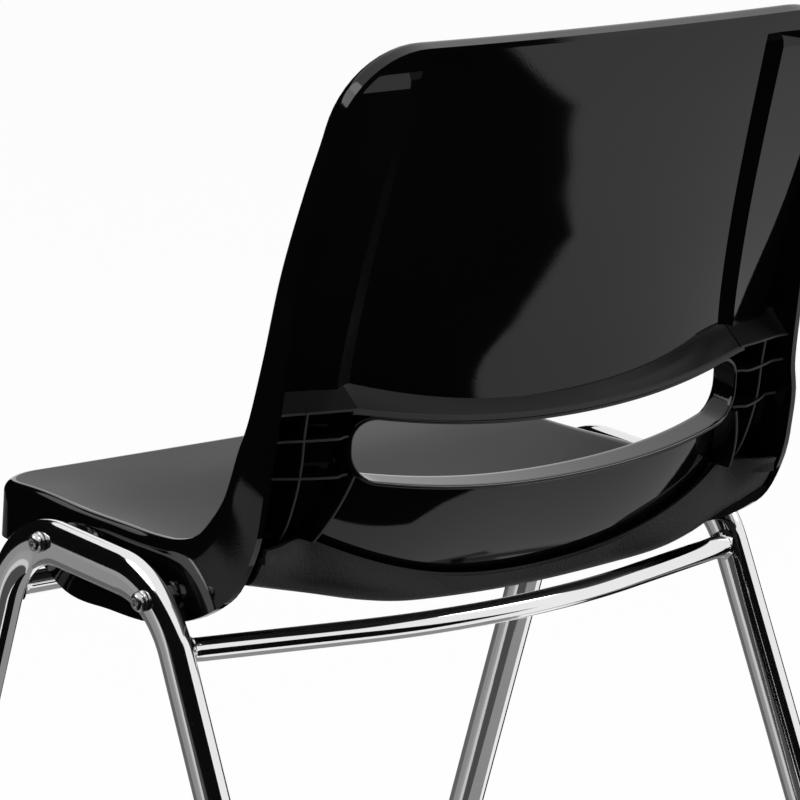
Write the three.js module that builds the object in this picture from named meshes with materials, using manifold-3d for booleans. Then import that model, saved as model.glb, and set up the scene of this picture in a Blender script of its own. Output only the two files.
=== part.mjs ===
// Stacking choir chair: a one-piece moulded shell on a chromed frame of bent oval tube.
// Millimetres. X runs across the chair, the sitter faces -Y and Z = 0 is the floor.
// The sizes come first, then small helpers, then one function for each kind of piece.

import * as THREE from 'three';
import { mergeVertices } from 'three/addons/utils/BufferGeometryUtils.js';
import Module from 'manifold-3d';

const wasm = await Module();
wasm.setup();

const { degToRad, lerp, smoothstep } = THREE.MathUtils;

// Frame: both crossbars lie at one height, and the rear one is the datum of every place along Y
const crossbarHeight = 392;
const crossbarSpacing = 202;
const frameHalfWidth = 234;
const frameLean = degToRad(0.76);
const rearLegRake = degToRad(25);
const frontLegRake = degToRad(21);
const seatRailRise = 37;
const seatRailFall = degToRad(2.4);
const frameBendRadius = 70;

// Tubes
const sideTubeDepth = 31;
const sideTubeWidth = 16;
const crossbarDiameter = 16;
const tubeWall = 1.8;
const crossbarBow = 45;
const weldLeg = 3;

// Screws, with what lies between the tube and the shell
const screwDiameter = 6;
const screwHeadDiameter = 12.4;
const screwHeadHeight = 4.2;
const screwSocketWidth = 4;
const screwSocketDepth = 2.2;
const screwGrip = 10;
const frontScrewSetback = 148;
const rearScrewTurnShare = 0.47;
const washerDiameter = 14;
const washerThickness = 2.2;
const spacerDiameter = 15;
const spacerLength = 4.4;
const insertDiameter = 9;
const insertLength = 15;
const bossDiameter = 20;
const bossLength = 24;
const bossStand = 4;

// Clearances
const seatGap = 0.2;
const screwClearance = 0.3;
const screwHoleClearance = 0.4;
const cutOverrun = 5;

// Feet
const glideWall = 3;
const glideSole = 6;
const glideGrip = 26;

// Shell: it is drawn from the datum above the rear crossbar, at the height of the seat's side edges
const bucketClearance = 8.2;
const shellDepth = 370;
const shellHeight = 327;
const shellWall = 4;
const rimRadius = 8;
const rimFlare = degToRad(5);
// From the face's widest edge out to the half width at which the bosses stand
const rimReach = 13;
const fullSkirt = 50;
const frontCornerRadius = 31;
const topCornerRadius = 49;

// Hand-hold slot, with its collar behind the panel
const slotEndInset = 59;
const slotHeight = 40;
const slotMiddle = 61;
const slotSag = 17;
const slotCornerRadius = 17;
const slotTilt = degToRad(6);
const collarDepth = 22;
const collarWall = 3;

// Shelf above the slot: it stands higher and deeper beside the slot than over it
const shelfRootRise = 11;
const shelfShoulderRise = 9;
const shelfTipRise = 7;
const shelfShoulderDepth = 1;
const shelfWall = 5;

// Ribs in the pockets beside the slot
const ribWall = 2.4;
const ribDepth = 27;
const ribFall = 5;
const upperRibDrop = 18;
const lowerRibDrop = 43;
const ribLanding = 10;
const uprightRibInset = 28;
const uprightRibFoot = 14;
const cornerRibInset = 45;
const cornerRibFoot = 24;

// The thicker band behind the back beside each side edge, from behind the shelf to the top
const bandInset = 62;
const bandRampWidth = 11.5;
const bandRise = 6;
const bandStartHeight = 108;
const bandTopInset = 20;

// Grained apron under the rear of the seat: its upper edge is a smile on the panel, and past the
// corner ribs it leaves the panel and reaches back to the side flanges
const apronEdgeMiddle = -30;
const apronEdgeSag = 45;
const apronInset = 5;
const apronEndReach = 60;

// Shell stations from the front lip to the top edge. Each row holds the place of the side edge and of
// the centre line along Y and Z, as shares of the shell's depth and height, then the share of its
// half width and the share of its skirt.
const stationShares = [
  [-0.711, -0.009, -0.716, -0.012, 0.986, 0.62],
  [-0.554, -0.003, -0.554, -0.028, 0.989, 0.66],
  [-0.405, -0.008, -0.405, -0.067, 0.995, 1],
  [-0.27, -0.009, -0.265, -0.101, 0.995, 1],
  [-0.162, -0.009, -0.135, -0.122, 0.995, 0.98],
  [-0.081, 0, -0.027, -0.131, 0.998, 0.92],
  [-0.014, 0.024, 0.059, -0.131, 1, 0.9],
  [0.032, 0.064, 0.114, -0.116, 1, 0.96],
  [0.07, 0.113, 0.151, -0.07, 1, 0.88],
  [0.097, 0.174, 0.186, 0.009, 1, 0.77],
  [0.116, 0.229, 0.214, 0.107, 1, 0.68],
  [0.13, 0.275, 0.227, 0.22, 0.995, 0.58],
  [0.169, 0.41, 0.238, 0.41, 0.994, 0.44],
  [0.223, 0.593, 0.265, 0.594, 0.996, 0.27],
  [0.275, 0.75, 0.3, 0.75, 0.98, 0.18],
  [0.322, 0.883, 0.332, 0.881, 0.962, 0.17],
  [0.37, 1.017, 0.362, 1.005, 0.967, 0.16],
];

// Apron sections from the middle to the flange. Each row holds the share of its half width, then its
// crest and its foot along Y and Z, as shares of the shell's depth and height.
const apronShares = [
  [0, 0.162, -0.128, 0.054, -0.147],
  [0.316, 0.168, -0.119, 0.054, -0.143],
  [0.519, 0.192, -0.096, 0.049, -0.128],
  [0.66, 0.186, -0.078, 0.041, -0.106],
  [0.811, 0.162, -0.06, 0.024, -0.061],
  [1, 0.138, -0.035, 0.016, -0.028],
];

// The seat is flat across its middle and climbs to its side edges as steeply as over this reach. The
// back is an even bow, and between these shares one turns into the other. Every place on the back
// panel lies past the last share.
const seatBowReach = 56.7;
const backBowPower = 2.1;
const seatBowEndShare = 0.55;
const backBowStartShare = 0.8;
const panelStartShare = 0.34;

// Fineness of the round stretches
const bendSteps = 8;
const ovalSides = 20;
const roundSides = 16;
const crossbarSteps = 12;
const shellRows = 26;
const shellColumns = 16;
const cornerRows = 5;
const rimSteps = 3;
const slotSteps = 56;
const shelfSteps = 16;
const ribSteps = 4;
const bandSteps = 10;
const apronRows = 4;
const apronColumns = 20;
const lengthSteps = 400;
const halvings = 30;

const chrome = { color: 0xd6d8db, roughness: 0.08, metalness: 1 };
const zincSteel = { color: 0xc4c6c8, roughness: 0.22, metalness: 1 };
const blackPlastic = { color: 0x0b0b0c, roughness: 0.16, metalness: 0 };
const blackRubber = { color: 0x141414, roughness: 0.7, metalness: 0 };
const brass = { color: 0xb08d4a, roughness: 0.35, metalness: 1 };

const mergeDistance = 1e-3;
const sides = { left: 1, right: -1 };

// Helpers for solids

function geometryOf(points, triangles) {
  const geometry = new THREE.BufferGeometry().setFromPoints(points);
  geometry.setIndex(triangles);
  return geometry;
}

function solidOf(geometry) {
  const bare = new THREE.BufferGeometry();
  bare.setAttribute('position', geometry.getAttribute('position'));
  bare.setIndex(geometry.getIndex());
  const merged = mergeVertices(bare, mergeDistance);
  return new wasm.Manifold(new wasm.Mesh({
    numProp: 3,
    vertProperties: new Float32Array(merged.getAttribute('position').array),
    triVerts: new Uint32Array(merged.getIndex().array),
  }));
}

function geometryFrom(solid) {
  const mesh = solid.getMesh();
  const geometry = new THREE.BufferGeometry();
  geometry.setAttribute('position', new THREE.BufferAttribute(mesh.vertProperties, 3));
  geometry.setIndex(new THREE.BufferAttribute(mesh.triVerts, 1));
  geometry.computeVertexNormals();
  return geometry;
}

// A closed solid through rings of equally many points, each ring turning the same way
function loft(rings) {
  const count = rings[0].length;
  const points = rings.flat();
  const triangles = [];
  for (let i = 0; i < rings.length - 1; i++) {
    const near = i * count;
    const far = near + count;
    for (let j = 0; j < count; j++) {
      const next = (j + 1) % count;
      triangles.push(near + j, near + next, far + next);
      triangles.push(near + j, far + next, far + j);
    }
  }
  capRing(points, triangles, 0, count, true);
  capRing(points, triangles, (rings.length - 1) * count, count, false);
  return outwards(geometryOf(points, triangles));
}

function capRing(points, triangles, start, count, flipped) {
  const middle = new THREE.Vector3();
  for (let j = 0; j < count; j++) {
    middle.add(points[start + j]);
  }
  const hub = points.push(middle.divideScalar(count)) - 1;
  for (let j = 0; j < count; j++) {
    const a = start + j;
    const b = start + ((j + 1) % count);
    triangles.push(...(flipped ? [hub, b, a] : [hub, a, b]));
  }
}

function signedVolume(geometry) {
  const position = geometry.getAttribute('position');
  const index = geometry.getIndex();
  const corner = [new THREE.Vector3(), new THREE.Vector3(), new THREE.Vector3()];
  let volume = 0;
  for (let i = 0; i < index.count; i += 3) {
    corner.forEach((vertex, k) => vertex.fromBufferAttribute(position, index.getX(i + k)));
    volume += corner[0].dot(corner[1].clone().cross(corner[2]));
  }
  return volume;
}

function outwards(geometry) {
  if (signedVolume(geometry) < 0) {
    const index = geometry.getIndex();
    for (let i = 0; i < index.count; i += 3) {
      const first = index.getX(i);
      index.setX(i, index.getX(i + 1));
      index.setX(i + 1, first);
    }
  }
  return geometry;
}

function circle(diameter, place) {
  const angle = 2 * Math.PI * place / roundSides;
  return new THREE.Vector2(Math.cos(angle), Math.sin(angle)).multiplyScalar(diameter / 2);
}

function meshOf(name, solid, finish) {
  const mesh = new THREE.Mesh(geometryFrom(solid), new THREE.MeshStandardMaterial(finish));
  mesh.name = name;
  return mesh;
}

// The place where a rising function reaches a value, found by halving between two limits
function solve(value, low, high, rising) {
  for (let i = 0; i < halvings; i++) {
    const middle = (low + high) / 2;
    if (rising(middle) < value) {
      low = middle;
    } else {
      high = middle;
    }
  }
  return (low + high) / 2;
}

// Side frame: a path in the plane of the frame, with x as the place along Y and y as the height

function crossing(pointA, directionA, pointB, directionB) {
  const apart = pointB.clone().sub(pointA);
  const reach = apart.cross(directionB) / directionA.cross(directionB);
  return pointA.clone().addScaledVector(directionA, reach);
}

const upright = new THREE.Vector2(0, 1);
const rearLegDown = new THREE.Vector2(Math.sin(rearLegRake), -Math.cos(rearLegRake));
const frontLegDown = new THREE.Vector2(-Math.sin(frontLegRake), -Math.cos(frontLegRake));
const railBack = new THREE.Vector2(Math.cos(seatRailFall), -Math.sin(seatRailFall));
const rearJoint = new THREE.Vector2(0, crossbarHeight);
const frontJoint = new THREE.Vector2(-crossbarSpacing, crossbarHeight);
const railPoint = new THREE.Vector2(0, crossbarHeight + seatRailRise);
const railRear = crossing(rearJoint, rearLegDown, railPoint, railBack);
const railFront = crossing(frontJoint, frontLegDown, railPoint, railBack);

function footOf(joint, down) {
  return joint.clone().addScaledVector(down, joint.y / -down.y);
}

const rearFoot = footOf(rearJoint, rearLegDown);
const frontFoot = footOf(frontJoint, frontLegDown);

// How far up its leg the tube's cut end lies, so that a whole sole fits under it
const legEndUp = glideSole + sideTubeDepth / 2 * Math.tan(Math.max(rearLegRake, frontLegRake));

// The bend between two straight runs: its centre, and the unit arms where it starts and ends
function bendAt(corner, before, after, radius) {
  const toBefore = before.clone().sub(corner).normalize();
  const toAfter = after.clone().sub(corner).normalize();
  const half = Math.acos(toBefore.dot(toAfter)) / 2;
  const inwards = toBefore.clone().add(toAfter).normalize();
  const centre = corner.clone().addScaledVector(inwards, radius / Math.sin(half));
  const reach = radius / Math.tan(half);
  const start = corner.clone().addScaledVector(toBefore, reach).sub(centre).divideScalar(radius);
  const end = corner.clone().addScaledVector(toAfter, reach).sub(centre).divideScalar(radius);
  return { centre, start, end, radius };
}

function pointOnBend(bend, share) {
  const turn = bend.start.angleTo(bend.end) * Math.sign(bend.start.cross(bend.end));
  const arm = bend.start.clone().rotateAround(new THREE.Vector2(), turn * share);
  return { point: bend.centre.clone().addScaledVector(arm, bend.radius), across: arm };
}

const frontBend = bendAt(railFront, frontFoot, railRear, frameBendRadius);
const rearBend = bendAt(railRear, railFront, rearFoot, frameBendRadius);
const legs = {
  front: { foot: frontFoot, down: frontLegDown, across: frontBend.start },
  rear: { foot: rearFoot, down: rearLegDown, across: rearBend.end },
};

function pointOnLeg({ foot, down, across }, up) {
  return { point: foot.clone().addScaledVector(down, -up), across };
}

function framePath(extra) {
  const path = [pointOnLeg(legs.front, legEndUp - extra)];
  for (const bend of [frontBend, rearBend]) {
    for (let i = 0; i <= bendSteps; i++) {
      path.push(pointOnBend(bend, i / bendSteps));
    }
  }
  path.push(pointOnLeg(legs.rear, legEndUp - extra));
  return path;
}

// Flat-oval outline, a little squarer than an ellipse
const ovalFullnessShare = 0.84;

function ovalOutline(grow) {
  const outline = [];
  for (let i = 0; i < ovalSides; i++) {
    const angle = (2 * Math.PI * i) / ovalSides;
    const across = Math.sign(Math.cos(angle)) * Math.abs(Math.cos(angle)) ** ovalFullnessShare;
    const along = Math.sign(Math.sin(angle)) * Math.abs(Math.sin(angle)) ** ovalFullnessShare;
    outline.push(new THREE.Vector2(
      across * (sideTubeWidth / 2 + grow), along * (sideTubeDepth / 2 + grow),
    ));
  }
  return outline;
}

// A bar with the side tube's outline, grown or shrunk, swept along a path in the frame's plane
function ovalBar(side, path, grow) {
  const outline = ovalOutline(grow);
  return solidOf(placeSide(loft(path.map(({ point, across }) => outline.map((corner) => new THREE.Vector3(
    corner.x,
    point.x + across.x * corner.y,
    point.y + across.y * corner.y,
  )))), side));
}

// Leans what is drawn in the plane X = 0 out to its side of the chair
function placeSide(geometry, side) {
  geometry.translate(0, 0, -crossbarHeight);
  geometry.rotateY(side * -frameLean);
  geometry.translate(side * frameHalfWidth, 0, crossbarHeight);
  return geometry;
}

const screwPlaces = {
  front: crossing(new THREE.Vector2(-frontScrewSetback, 0), upright, railFront, railBack),
  rear: pointOnBend(rearBend, rearScrewTurnShare).point,
};

// A round bar square to the side tube at a screw, between two distances out from the tube's middle
function screwBar(side, place, diameter, from, to, count = roundSides) {
  const geometry = new THREE.CylinderGeometry(diameter / 2, diameter / 2, to - from, count);
  geometry.rotateZ(Math.PI / 2);
  geometry.translate(side * (from + to) / 2, place.x, place.y);
  return solidOf(placeSide(geometry, side));
}

const screwHoleDiameter = screwDiameter + 2 * screwHoleClearance;

function makeSideFrame(name, side) {
  let tube = ovalBar(side, framePath(0), 0);
  tube = tube.subtract(ovalBar(side, framePath(cutOverrun), -tubeWall));
  const reach = sideTubeWidth / 2 + cutOverrun;
  for (const place of Object.values(screwPlaces)) {
    tube = tube.subtract(screwBar(side, place, screwHoleDiameter, -reach, reach));
  }
  return meshOf(name, tube, chrome);
}

// Crossbars: a round tube through the leg axes, coped to the side tubes with a weld fillet at each end

function crossbarSolid(diameter, yAt, reach) {
  const rings = [];
  for (let i = 0; i <= crossbarSteps; i++) {
    const x = lerp(-reach, reach, i / crossbarSteps);
    const ahead = new THREE.Vector2(2 * weldLeg, yAt(x + weldLeg) - yAt(x - weldLeg)).normalize();
    const ring = [];
    for (let j = 0; j < roundSides; j++) {
      const { x: out, y: up } = circle(diameter, j);
      ring.push(new THREE.Vector3(x - ahead.y * out, yAt(x) + ahead.x * out, crossbarHeight + up));
    }
    rings.push(ring);
  }
  return solidOf(loft(rings));
}

function weldSolid(side, yAt) {
  const faceX = frameHalfWidth - sideTubeWidth / 2;
  const rings = [[weldLeg, 0], [0, weldLeg], [-weldLeg, weldLeg]].map(([back, grow]) => {
    const x = side * (faceX - back);
    const ring = [];
    for (let j = 0; j < roundSides; j++) {
      const place = circle(crossbarDiameter + 2 * grow, j);
      ring.push(new THREE.Vector3(x, yAt(x) + place.x, crossbarHeight + place.y));
    }
    return ring;
  });
  return solidOf(loft(rings));
}

function makeCrossbar(name, yAt) {
  let bar = crossbarSolid(crossbarDiameter, yAt, frameHalfWidth);
  for (const side of Object.values(sides)) {
    bar = bar.add(weldSolid(side, yAt));
  }
  bar = bar.subtract(crossbarSolid(crossbarDiameter - 2 * tubeWall, yAt, frameHalfWidth + cutOverrun));
  for (const side of Object.values(sides)) {
    bar = bar.subtract(ovalBar(side, framePath(0), seatGap));
  }
  return meshOf(name, largestPiece(bar), chrome);
}

// The cut leaves scraps of the bar inside and beyond the side tubes, and only the bar itself is kept
function largestPiece(solid) {
  const pieces = solid.decompose();
  pieces.sort((a, b) => b.volume() - a.volume());
  return pieces[0];
}

// Bowed rear crossbar: straight near the legs, a parabola over its middle half
function rearCrossbarY(x) {
  const straightFrom = frameHalfWidth / 2;
  const slope = crossbarBow / (frameHalfWidth - straightFrom / 2);
  const away = Math.abs(x);
  if (away > straightFrom) {
    return (frameHalfWidth - away) * slope;
  }
  return crossbarBow - (away * away * slope) / (2 * straightFrom);
}

// Fasteners, stacked outwards along each screw from the boss face to the head

const tubeFace = sideTubeWidth / 2;
const bossFace = -(tubeFace + seatGap + spacerLength + seatGap);
const washerOuter = tubeFace + seatGap + washerThickness;
const headStart = washerOuter + seatGap;
const insertBore = screwDiameter + 2 * screwClearance;

// The head's crown is a little narrower than its foot
const headCrownShare = 0.78;

function makeScrew(name, side, place) {
  const headEnd = headStart + screwHeadHeight;
  let screw = screwBar(side, place, screwDiameter, bossFace - screwGrip, headStart + screwHeadHeight / 2);
  const crown = screwHeadHeight * (1 - headCrownShare);
  screw = screw.add(screwBar(side, place, screwHeadDiameter, headStart, headEnd - crown));
  screw = screw.add(screwBar(side, place, screwHeadDiameter * headCrownShare, headStart, headEnd));
  const hexagonSides = 6;
  const socketStart = headEnd - screwSocketDepth;
  screw = screw.subtract(
    screwBar(side, place, screwSocketWidth, socketStart, headEnd + cutOverrun, hexagonSides),
  );
  return meshOf(name, screw, zincSteel);
}

function makeRing(name, side, place, diameter, bore, from, to, finish) {
  let ring = screwBar(side, place, diameter, from, to);
  ring = ring.subtract(screwBar(side, place, bore, from - cutOverrun, to + cutOverrun));
  return meshOf(name, ring, finish);
}

function makeWasher(name, side, place) {
  const from = tubeFace + seatGap;
  return makeRing(name, side, place, washerDiameter, screwHoleDiameter, from, washerOuter, zincSteel);
}

function makeSpacer(name, side, place) {
  const to = -(tubeFace + seatGap);
  return makeRing(name, side, place, spacerDiameter, screwHoleDiameter, to - spacerLength, to, zincSteel);
}

function makeInsert(name, side, place) {
  const from = bossFace - insertLength;
  return makeRing(name, side, place, insertDiameter, insertBore, from, bossFace, brass);
}

// Foot: a boot round the leg's end, cut flat at the floor
function makeGlide(name, side, leg) {
  const top = legEndUp + glideGrip;
  const block = new THREE.BoxGeometry(sideTubeDepth, 2 * frameBendRadius, sideTubeDepth);
  block.translate(0, 0, -sideTubeDepth / 2);
  const span = (from, to) => [pointOnLeg(leg, from), pointOnLeg(leg, to)];
  let boot = ovalBar(side, span(-glideSole, top), seatGap + glideWall);
  boot = boot.subtract(ovalBar(side, span(legEndUp - seatGap, top + cutOverrun), seatGap));
  const floorX = side * (frameHalfWidth + crossbarHeight * Math.tan(frameLean));
  boot = boot.subtract(solidOf(block).translate([floorX, leg.foot.x, 0]));
  return meshOf(name, boot, blackRubber);
}

// Shell surface: stations joined by smooth curves, with the cross-section bowed from centre to side

const rollHalfWidth = frameHalfWidth + bossFace - bossStand;
const edgeHalfWidth = rollHalfWidth - rimReach;
const slotHalfWidth = rollHalfWidth - slotEndInset;
const uprightRibPlace = rollHalfWidth - uprightRibInset;
const cornerRibPlace = rollHalfWidth - cornerRibInset;
const apronHalfWidth = rollHalfWidth - apronInset;
const bandPlace = rollHalfWidth - bandInset;
const stationPoints = stationShares.map(([sideY, sideZ, centreY, centreZ, width, skirt]) => ({
  side: new THREE.Vector3(width * edgeHalfWidth, sideY * shellDepth, sideZ * shellHeight),
  centre: new THREE.Vector3(0, centreY * shellDepth, centreZ * shellHeight),
  skirt: new THREE.Vector3(skirt * fullSkirt, sideY * shellDepth, sideZ * shellHeight),
}));

function stationCurve(key) {
  return new THREE.CatmullRomCurve3(stationPoints.map((station) => station[key]), false, 'centripetal');
}

const sideCurve = stationCurve('side');
const centreCurve = stationCurve('centre');
const skirtCurve = stationCurve('skirt');

// Share 0 is the front lip and 1 the top edge; x is the real distance from the centre plane
function shellPoint(share, x) {
  const side = sideCurve.getPoint(share);
  const centre = centreCurve.getPoint(share);
  const seatPower = side.x / seatBowReach;
  const power = lerp(seatPower, backBowPower, smoothstep(share, seatBowEndShare, backBowStartShare));
  const bow = Math.abs(x / side.x) ** power;
  return new THREE.Vector3(x, lerp(centre.y, side.y, bow), lerp(centre.z, side.z, bow));
}

// The bucket's lowest place clears the rear crossbar
const bucketDepth = -Math.min(...stationPoints.map(({ centre }) => centre.z)) + shellWall;
const shellLift = crossbarDiameter / 2 + bucketClearance + bucketDepth;
const datum = new THREE.Vector3(0, 0, crossbarHeight + shellLift);
const sideLengths = sideCurve.getLengths(lengthSteps);
const sideLength = sideLengths[lengthSteps];

function lengthAt(share) {
  const place = share * lengthSteps;
  const low = Math.min(Math.floor(place), lengthSteps - 1);
  return lerp(sideLengths[low], sideLengths[low + 1], place - low);
}

function shareAtLength(length) {
  return solve(length, 0, 1, lengthAt);
}

// The outline turns its corners at both ends, where the rows close up
function roundedHalfWidth(share) {
  const turn = (distance, radius) => {
    const short = Math.max(radius - distance, 0);
    return radius - Math.sqrt(radius * radius - short * short);
  };
  const length = lengthAt(share);
  return sideCurve.getPoint(share).x
    - turn(Math.max(length, 0), frontCornerRadius)
    - turn(Math.max(sideLength - length, 0), topCornerRadius);
}

function rowShares() {
  const lengths = [];
  const cornerLength = (radius, i) => radius * (1 - Math.cos((Math.PI / 2) * (i / cornerRows)));
  for (let i = 0; i < cornerRows; i++) {
    lengths.push(cornerLength(frontCornerRadius, i));
  }
  for (let i = 0; i <= shellRows; i++) {
    lengths.push(lerp(frontCornerRadius, sideLength - topCornerRadius, i / shellRows));
  }
  for (let i = cornerRows - 1; i >= 0; i--) {
    lengths.push(sideLength - cornerLength(topCornerRadius, i));
  }
  return lengths.map(shareAtLength);
}

// A grid sheet whose rows run to the rear and whose columns run across, facing the sitter
function gridSheet(rows, columns, pointAt) {
  const points = [];
  const triangles = [];
  const width = columns + 1;
  for (let i = 0; i <= rows; i++) {
    for (let j = 0; j <= columns; j++) {
      points.push(pointAt(i, -1 + (2 * j) / columns));
    }
  }
  for (let i = 0; i < rows; i++) {
    for (let j = 0; j < columns; j++) {
      const a = i * width + j;
      triangles.push(a, a + 1, a + width + 1, a, a + width + 1, a + width);
    }
  }
  return { points, triangles, outline: outlineOf(rows, columns) };
}

// Indices of a grid's outline, in order round it
function outlineOf(rows, columns) {
  const width = columns + 1;
  const outline = [];
  for (let j = 0; j < columns; j++) {
    outline.push(j);
  }
  for (let i = 0; i < rows; i++) {
    outline.push(i * width + columns);
  }
  for (let j = columns; j > 0; j--) {
    outline.push(rows * width + j);
  }
  for (let i = rows; i > 0; i--) {
    outline.push(i * width);
  }
  return outline;
}

// The sheet of the shell: the sitting face as a grid, then rings that roll over and run down the skirt
function shellSheet() {
  const shares = rowShares();
  const { points, triangles, outline } = gridSheet(shares.length - 1, shellColumns, (i, across) => (
    shellPoint(shares[i], across * roundedHalfWidth(shares[i]))
  ));
  const normals = normalsOf(geometryOf(points, triangles));
  const count = outline.length;
  const rolls = outline.map((index, place) => rollFrame(
    points[index],
    points[outline[(place + 1) % count]].clone().sub(points[outline[(place + count - 1) % count]]),
    normals[index],
    shares[Math.floor(index / (shellColumns + 1))],
  ));
  let edge = outline;
  for (let k = 1; k <= rimSteps + 1; k++) {
    const ring = rolls.map((roll) => points.push(rollPoint(roll, k)) - 1);
    for (let m = 0; m < count; m++) {
      const next = (m + 1) % count;
      triangles.push(edge[next], edge[m], ring[m], edge[next], ring[m], ring[next]);
    }
    edge = ring;
  }
  return geometryOf(points, triangles);
}

// The roll leaves the face along its own slope and turns until it points down the skirt
function rollFrame(here, ahead, normal, share) {
  const along = sideCurve.getTangent(share);
  const forward = ahead.clone().normalize();
  const down = new THREE.Vector3(0, along.z, -along.y).normalize();
  const out = down.clone().cross(forward).normalize();
  const drop = forward.clone().cross(out).normalize();
  const skirt = drop.multiplyScalar(Math.cos(rimFlare)).addScaledVector(out, Math.sin(rimFlare));
  const start = forward.clone().cross(normal).normalize();
  const inner = forward.clone().cross(start).normalize();
  const full = Math.atan2(skirt.dot(inner), skirt.dot(start));
  return { here, start, inner, skirt, full, depth: skirtCurve.getPoint(share).x };
}

function rollPoint({ here, start, inner, skirt, full, depth }, step) {
  const angle = full * Math.min(step / rimSteps, 1);
  const point = here.clone()
    .addScaledVector(start, rimRadius * Math.sin(angle))
    .addScaledVector(inner, rimRadius * (1 - Math.cos(angle)));
  if (step > rimSteps) {
    point.addScaledVector(skirt, depth);
  }
  return point;
}

// Gives a sheet a wall between two depths on its hidden side, closed along its open edge
function thicken(sheet, from, to) {
  const normals = normalsOf(sheet);
  const position = sheet.getAttribute('position');
  const index = Array.from(sheet.getIndex().array);
  const count = position.count;
  const points = [];
  for (const depth of [from, to]) {
    for (let i = 0; i < count; i++) {
      points.push(new THREE.Vector3().fromBufferAttribute(position, i).addScaledVector(normals[i], -depth));
    }
  }
  const triangles = [...index];
  const edges = new Map();
  for (let i = 0; i < index.length; i += 3) {
    const [a, b, c] = index.slice(i, i + 3);
    triangles.push(count + b, count + a, count + c);
    for (const [start, end] of [[a, b], [b, c], [c, a]]) {
      edges.set(`${start}-${end}`, [start, end]);
    }
  }
  for (const [start, end] of edges.values()) {
    if (!edges.has(`${end}-${start}`)) {
      triangles.push(end, start, count + start, end, count + start, count + end);
    }
  }
  return outwards(geometryOf(points, triangles));
}

function normalsOf(sheet) {
  sheet.computeVertexNormals();
  const normal = sheet.getAttribute('normal');
  const normals = [];
  for (let i = 0; i < normal.count; i++) {
    normals.push(new THREE.Vector3().fromBufferAttribute(normal, i));
  }
  return normals;
}

// Places on the back panel, given X and the height above the shell's datum

function shareAtHeight(x, z) {
  return solve(z, panelStartShare, 1, (share) => shellPoint(share, x).z);
}

function panelY(x, z) {
  return shellPoint(shareAtHeight(x, z), x).y;
}

function edgeX(z) {
  const share = solve(z, panelStartShare, 1, (place) => sideCurve.getPoint(place).z);
  return sideCurve.getPoint(share).x;
}

function clampedPanelY(x, z) {
  const edge = edgeX(z);
  return panelY(THREE.MathUtils.clamp(x, -edge, edge), z);
}

// Inside the wall of the panel, and past the panel's edge inside the roll of the rim
function rootY(x, z) {
  return clampedPanelY(x, z) + shellWall / 2 + Math.max(Math.abs(x) - edgeX(z), 0);
}

function slotLift(x) {
  return slotSag * (x / slotHalfWidth) ** 2;
}

// Slot outline in X and Z: a smile with rounded corners, grown outwards by a wall
function slotOutline(grow) {
  const half = slotHalfWidth + grow;
  const tall = slotHeight / 2 + grow;
  const radius = slotCornerRadius + grow;
  const shape = new THREE.Shape();
  shape.moveTo(radius - half, -tall);
  shape.lineTo(half - radius, -tall);
  shape.absarc(half - radius, radius - tall, radius, -Math.PI / 2, 0);
  shape.absarc(half - radius, tall - radius, radius, 0, Math.PI / 2);
  shape.absarc(radius - half, tall - radius, radius, Math.PI / 2, Math.PI);
  shape.absarc(radius - half, radius - tall, radius, Math.PI, Math.PI * 1.5);
  const points = shape.getSpacedPoints(slotSteps).slice(0, -1);
  return points.map(({ x, y }) => new THREE.Vector2(x, y + slotMiddle + slotLift(x)));
}

// A bar through the panel with the slot's outline, dropping with the slot's tilt
function slotBar(grow, from, to) {
  return solidOf(loft([from, to].map((offset) => slotOutline(grow).map(({ x, y: z }) => new THREE.Vector3(
    x, panelY(x, z) + offset, z - offset * Math.tan(slotTilt),
  )))));
}

// A rib behind the panel: its upper side follows a line of X and Z, and it falls as it runs to the rear
function ribSolid(line, wall, depthAt, fallAt) {
  return solidOf(loft(line.map((here, i) => {
    const before = line[Math.max(i - 1, 0)];
    const after = line[Math.min(i + 1, line.length - 1)];
    const ahead = after.clone().sub(before).normalize();
    const under = new THREE.Vector2(ahead.y, -ahead.x).multiplyScalar(wall);
    const root = rootY(here.x, here.y);
    const tip = clampedPanelY(here.x, here.y) + depthAt(here.x);
    const fall = fallAt(here.x);
    return [
      new THREE.Vector3(here.x, root, here.y),
      new THREE.Vector3(here.x, tip, here.y - fall),
      new THREE.Vector3(here.x + under.x, tip, here.y + under.y - fall),
      new THREE.Vector3(here.x + under.x, root, here.y + under.y),
    ];
  })));
}

function lineAcross(from, to, heightAt, steps) {
  const line = [];
  for (let i = 0; i <= steps; i++) {
    const x = lerp(from, to, i / steps);
    line.push(new THREE.Vector2(x, heightAt(x)));
  }
  return line;
}

// How far along the shelf's shoulder a place lies: 0 at the middle, 1 beside the slot
function shoulder(x) {
  return Math.min(Math.abs(x) / slotHalfWidth, 1) ** 2;
}

const slotTop = slotMiddle + slotHeight / 2;

function shelfRoot(x) {
  return slotTop + shelfRootRise + (slotSag + shelfShoulderRise) * shoulder(x);
}

function shelfTip(x) {
  return slotTop + shelfTipRise - collarDepth * Math.tan(slotTilt) + slotSag * shoulder(x);
}

function shelfSolid() {
  const end = edgeX(shelfRoot(slotHalfWidth)) + ribLanding;
  const middleEnd = slotHalfWidth + collarWall;
  const depthAt = (x) => collarDepth + shelfShoulderDepth * (x / slotHalfWidth) ** 2;
  const fallAt = (x) => shelfRoot(x) - shelfTip(x);
  let shelf = ribSolid(lineAcross(-middleEnd, middleEnd, shelfRoot, shelfSteps), shelfWall, depthAt, fallAt);
  for (const side of Object.values(sides)) {
    const line = lineAcross(side * slotHalfWidth, side * end, shelfRoot, ribSteps);
    shelf = shelf.add(ribSolid(side > 0 ? line : line.reverse(), ribWall, depthAt, fallAt));
  }
  return shelf;
}

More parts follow.
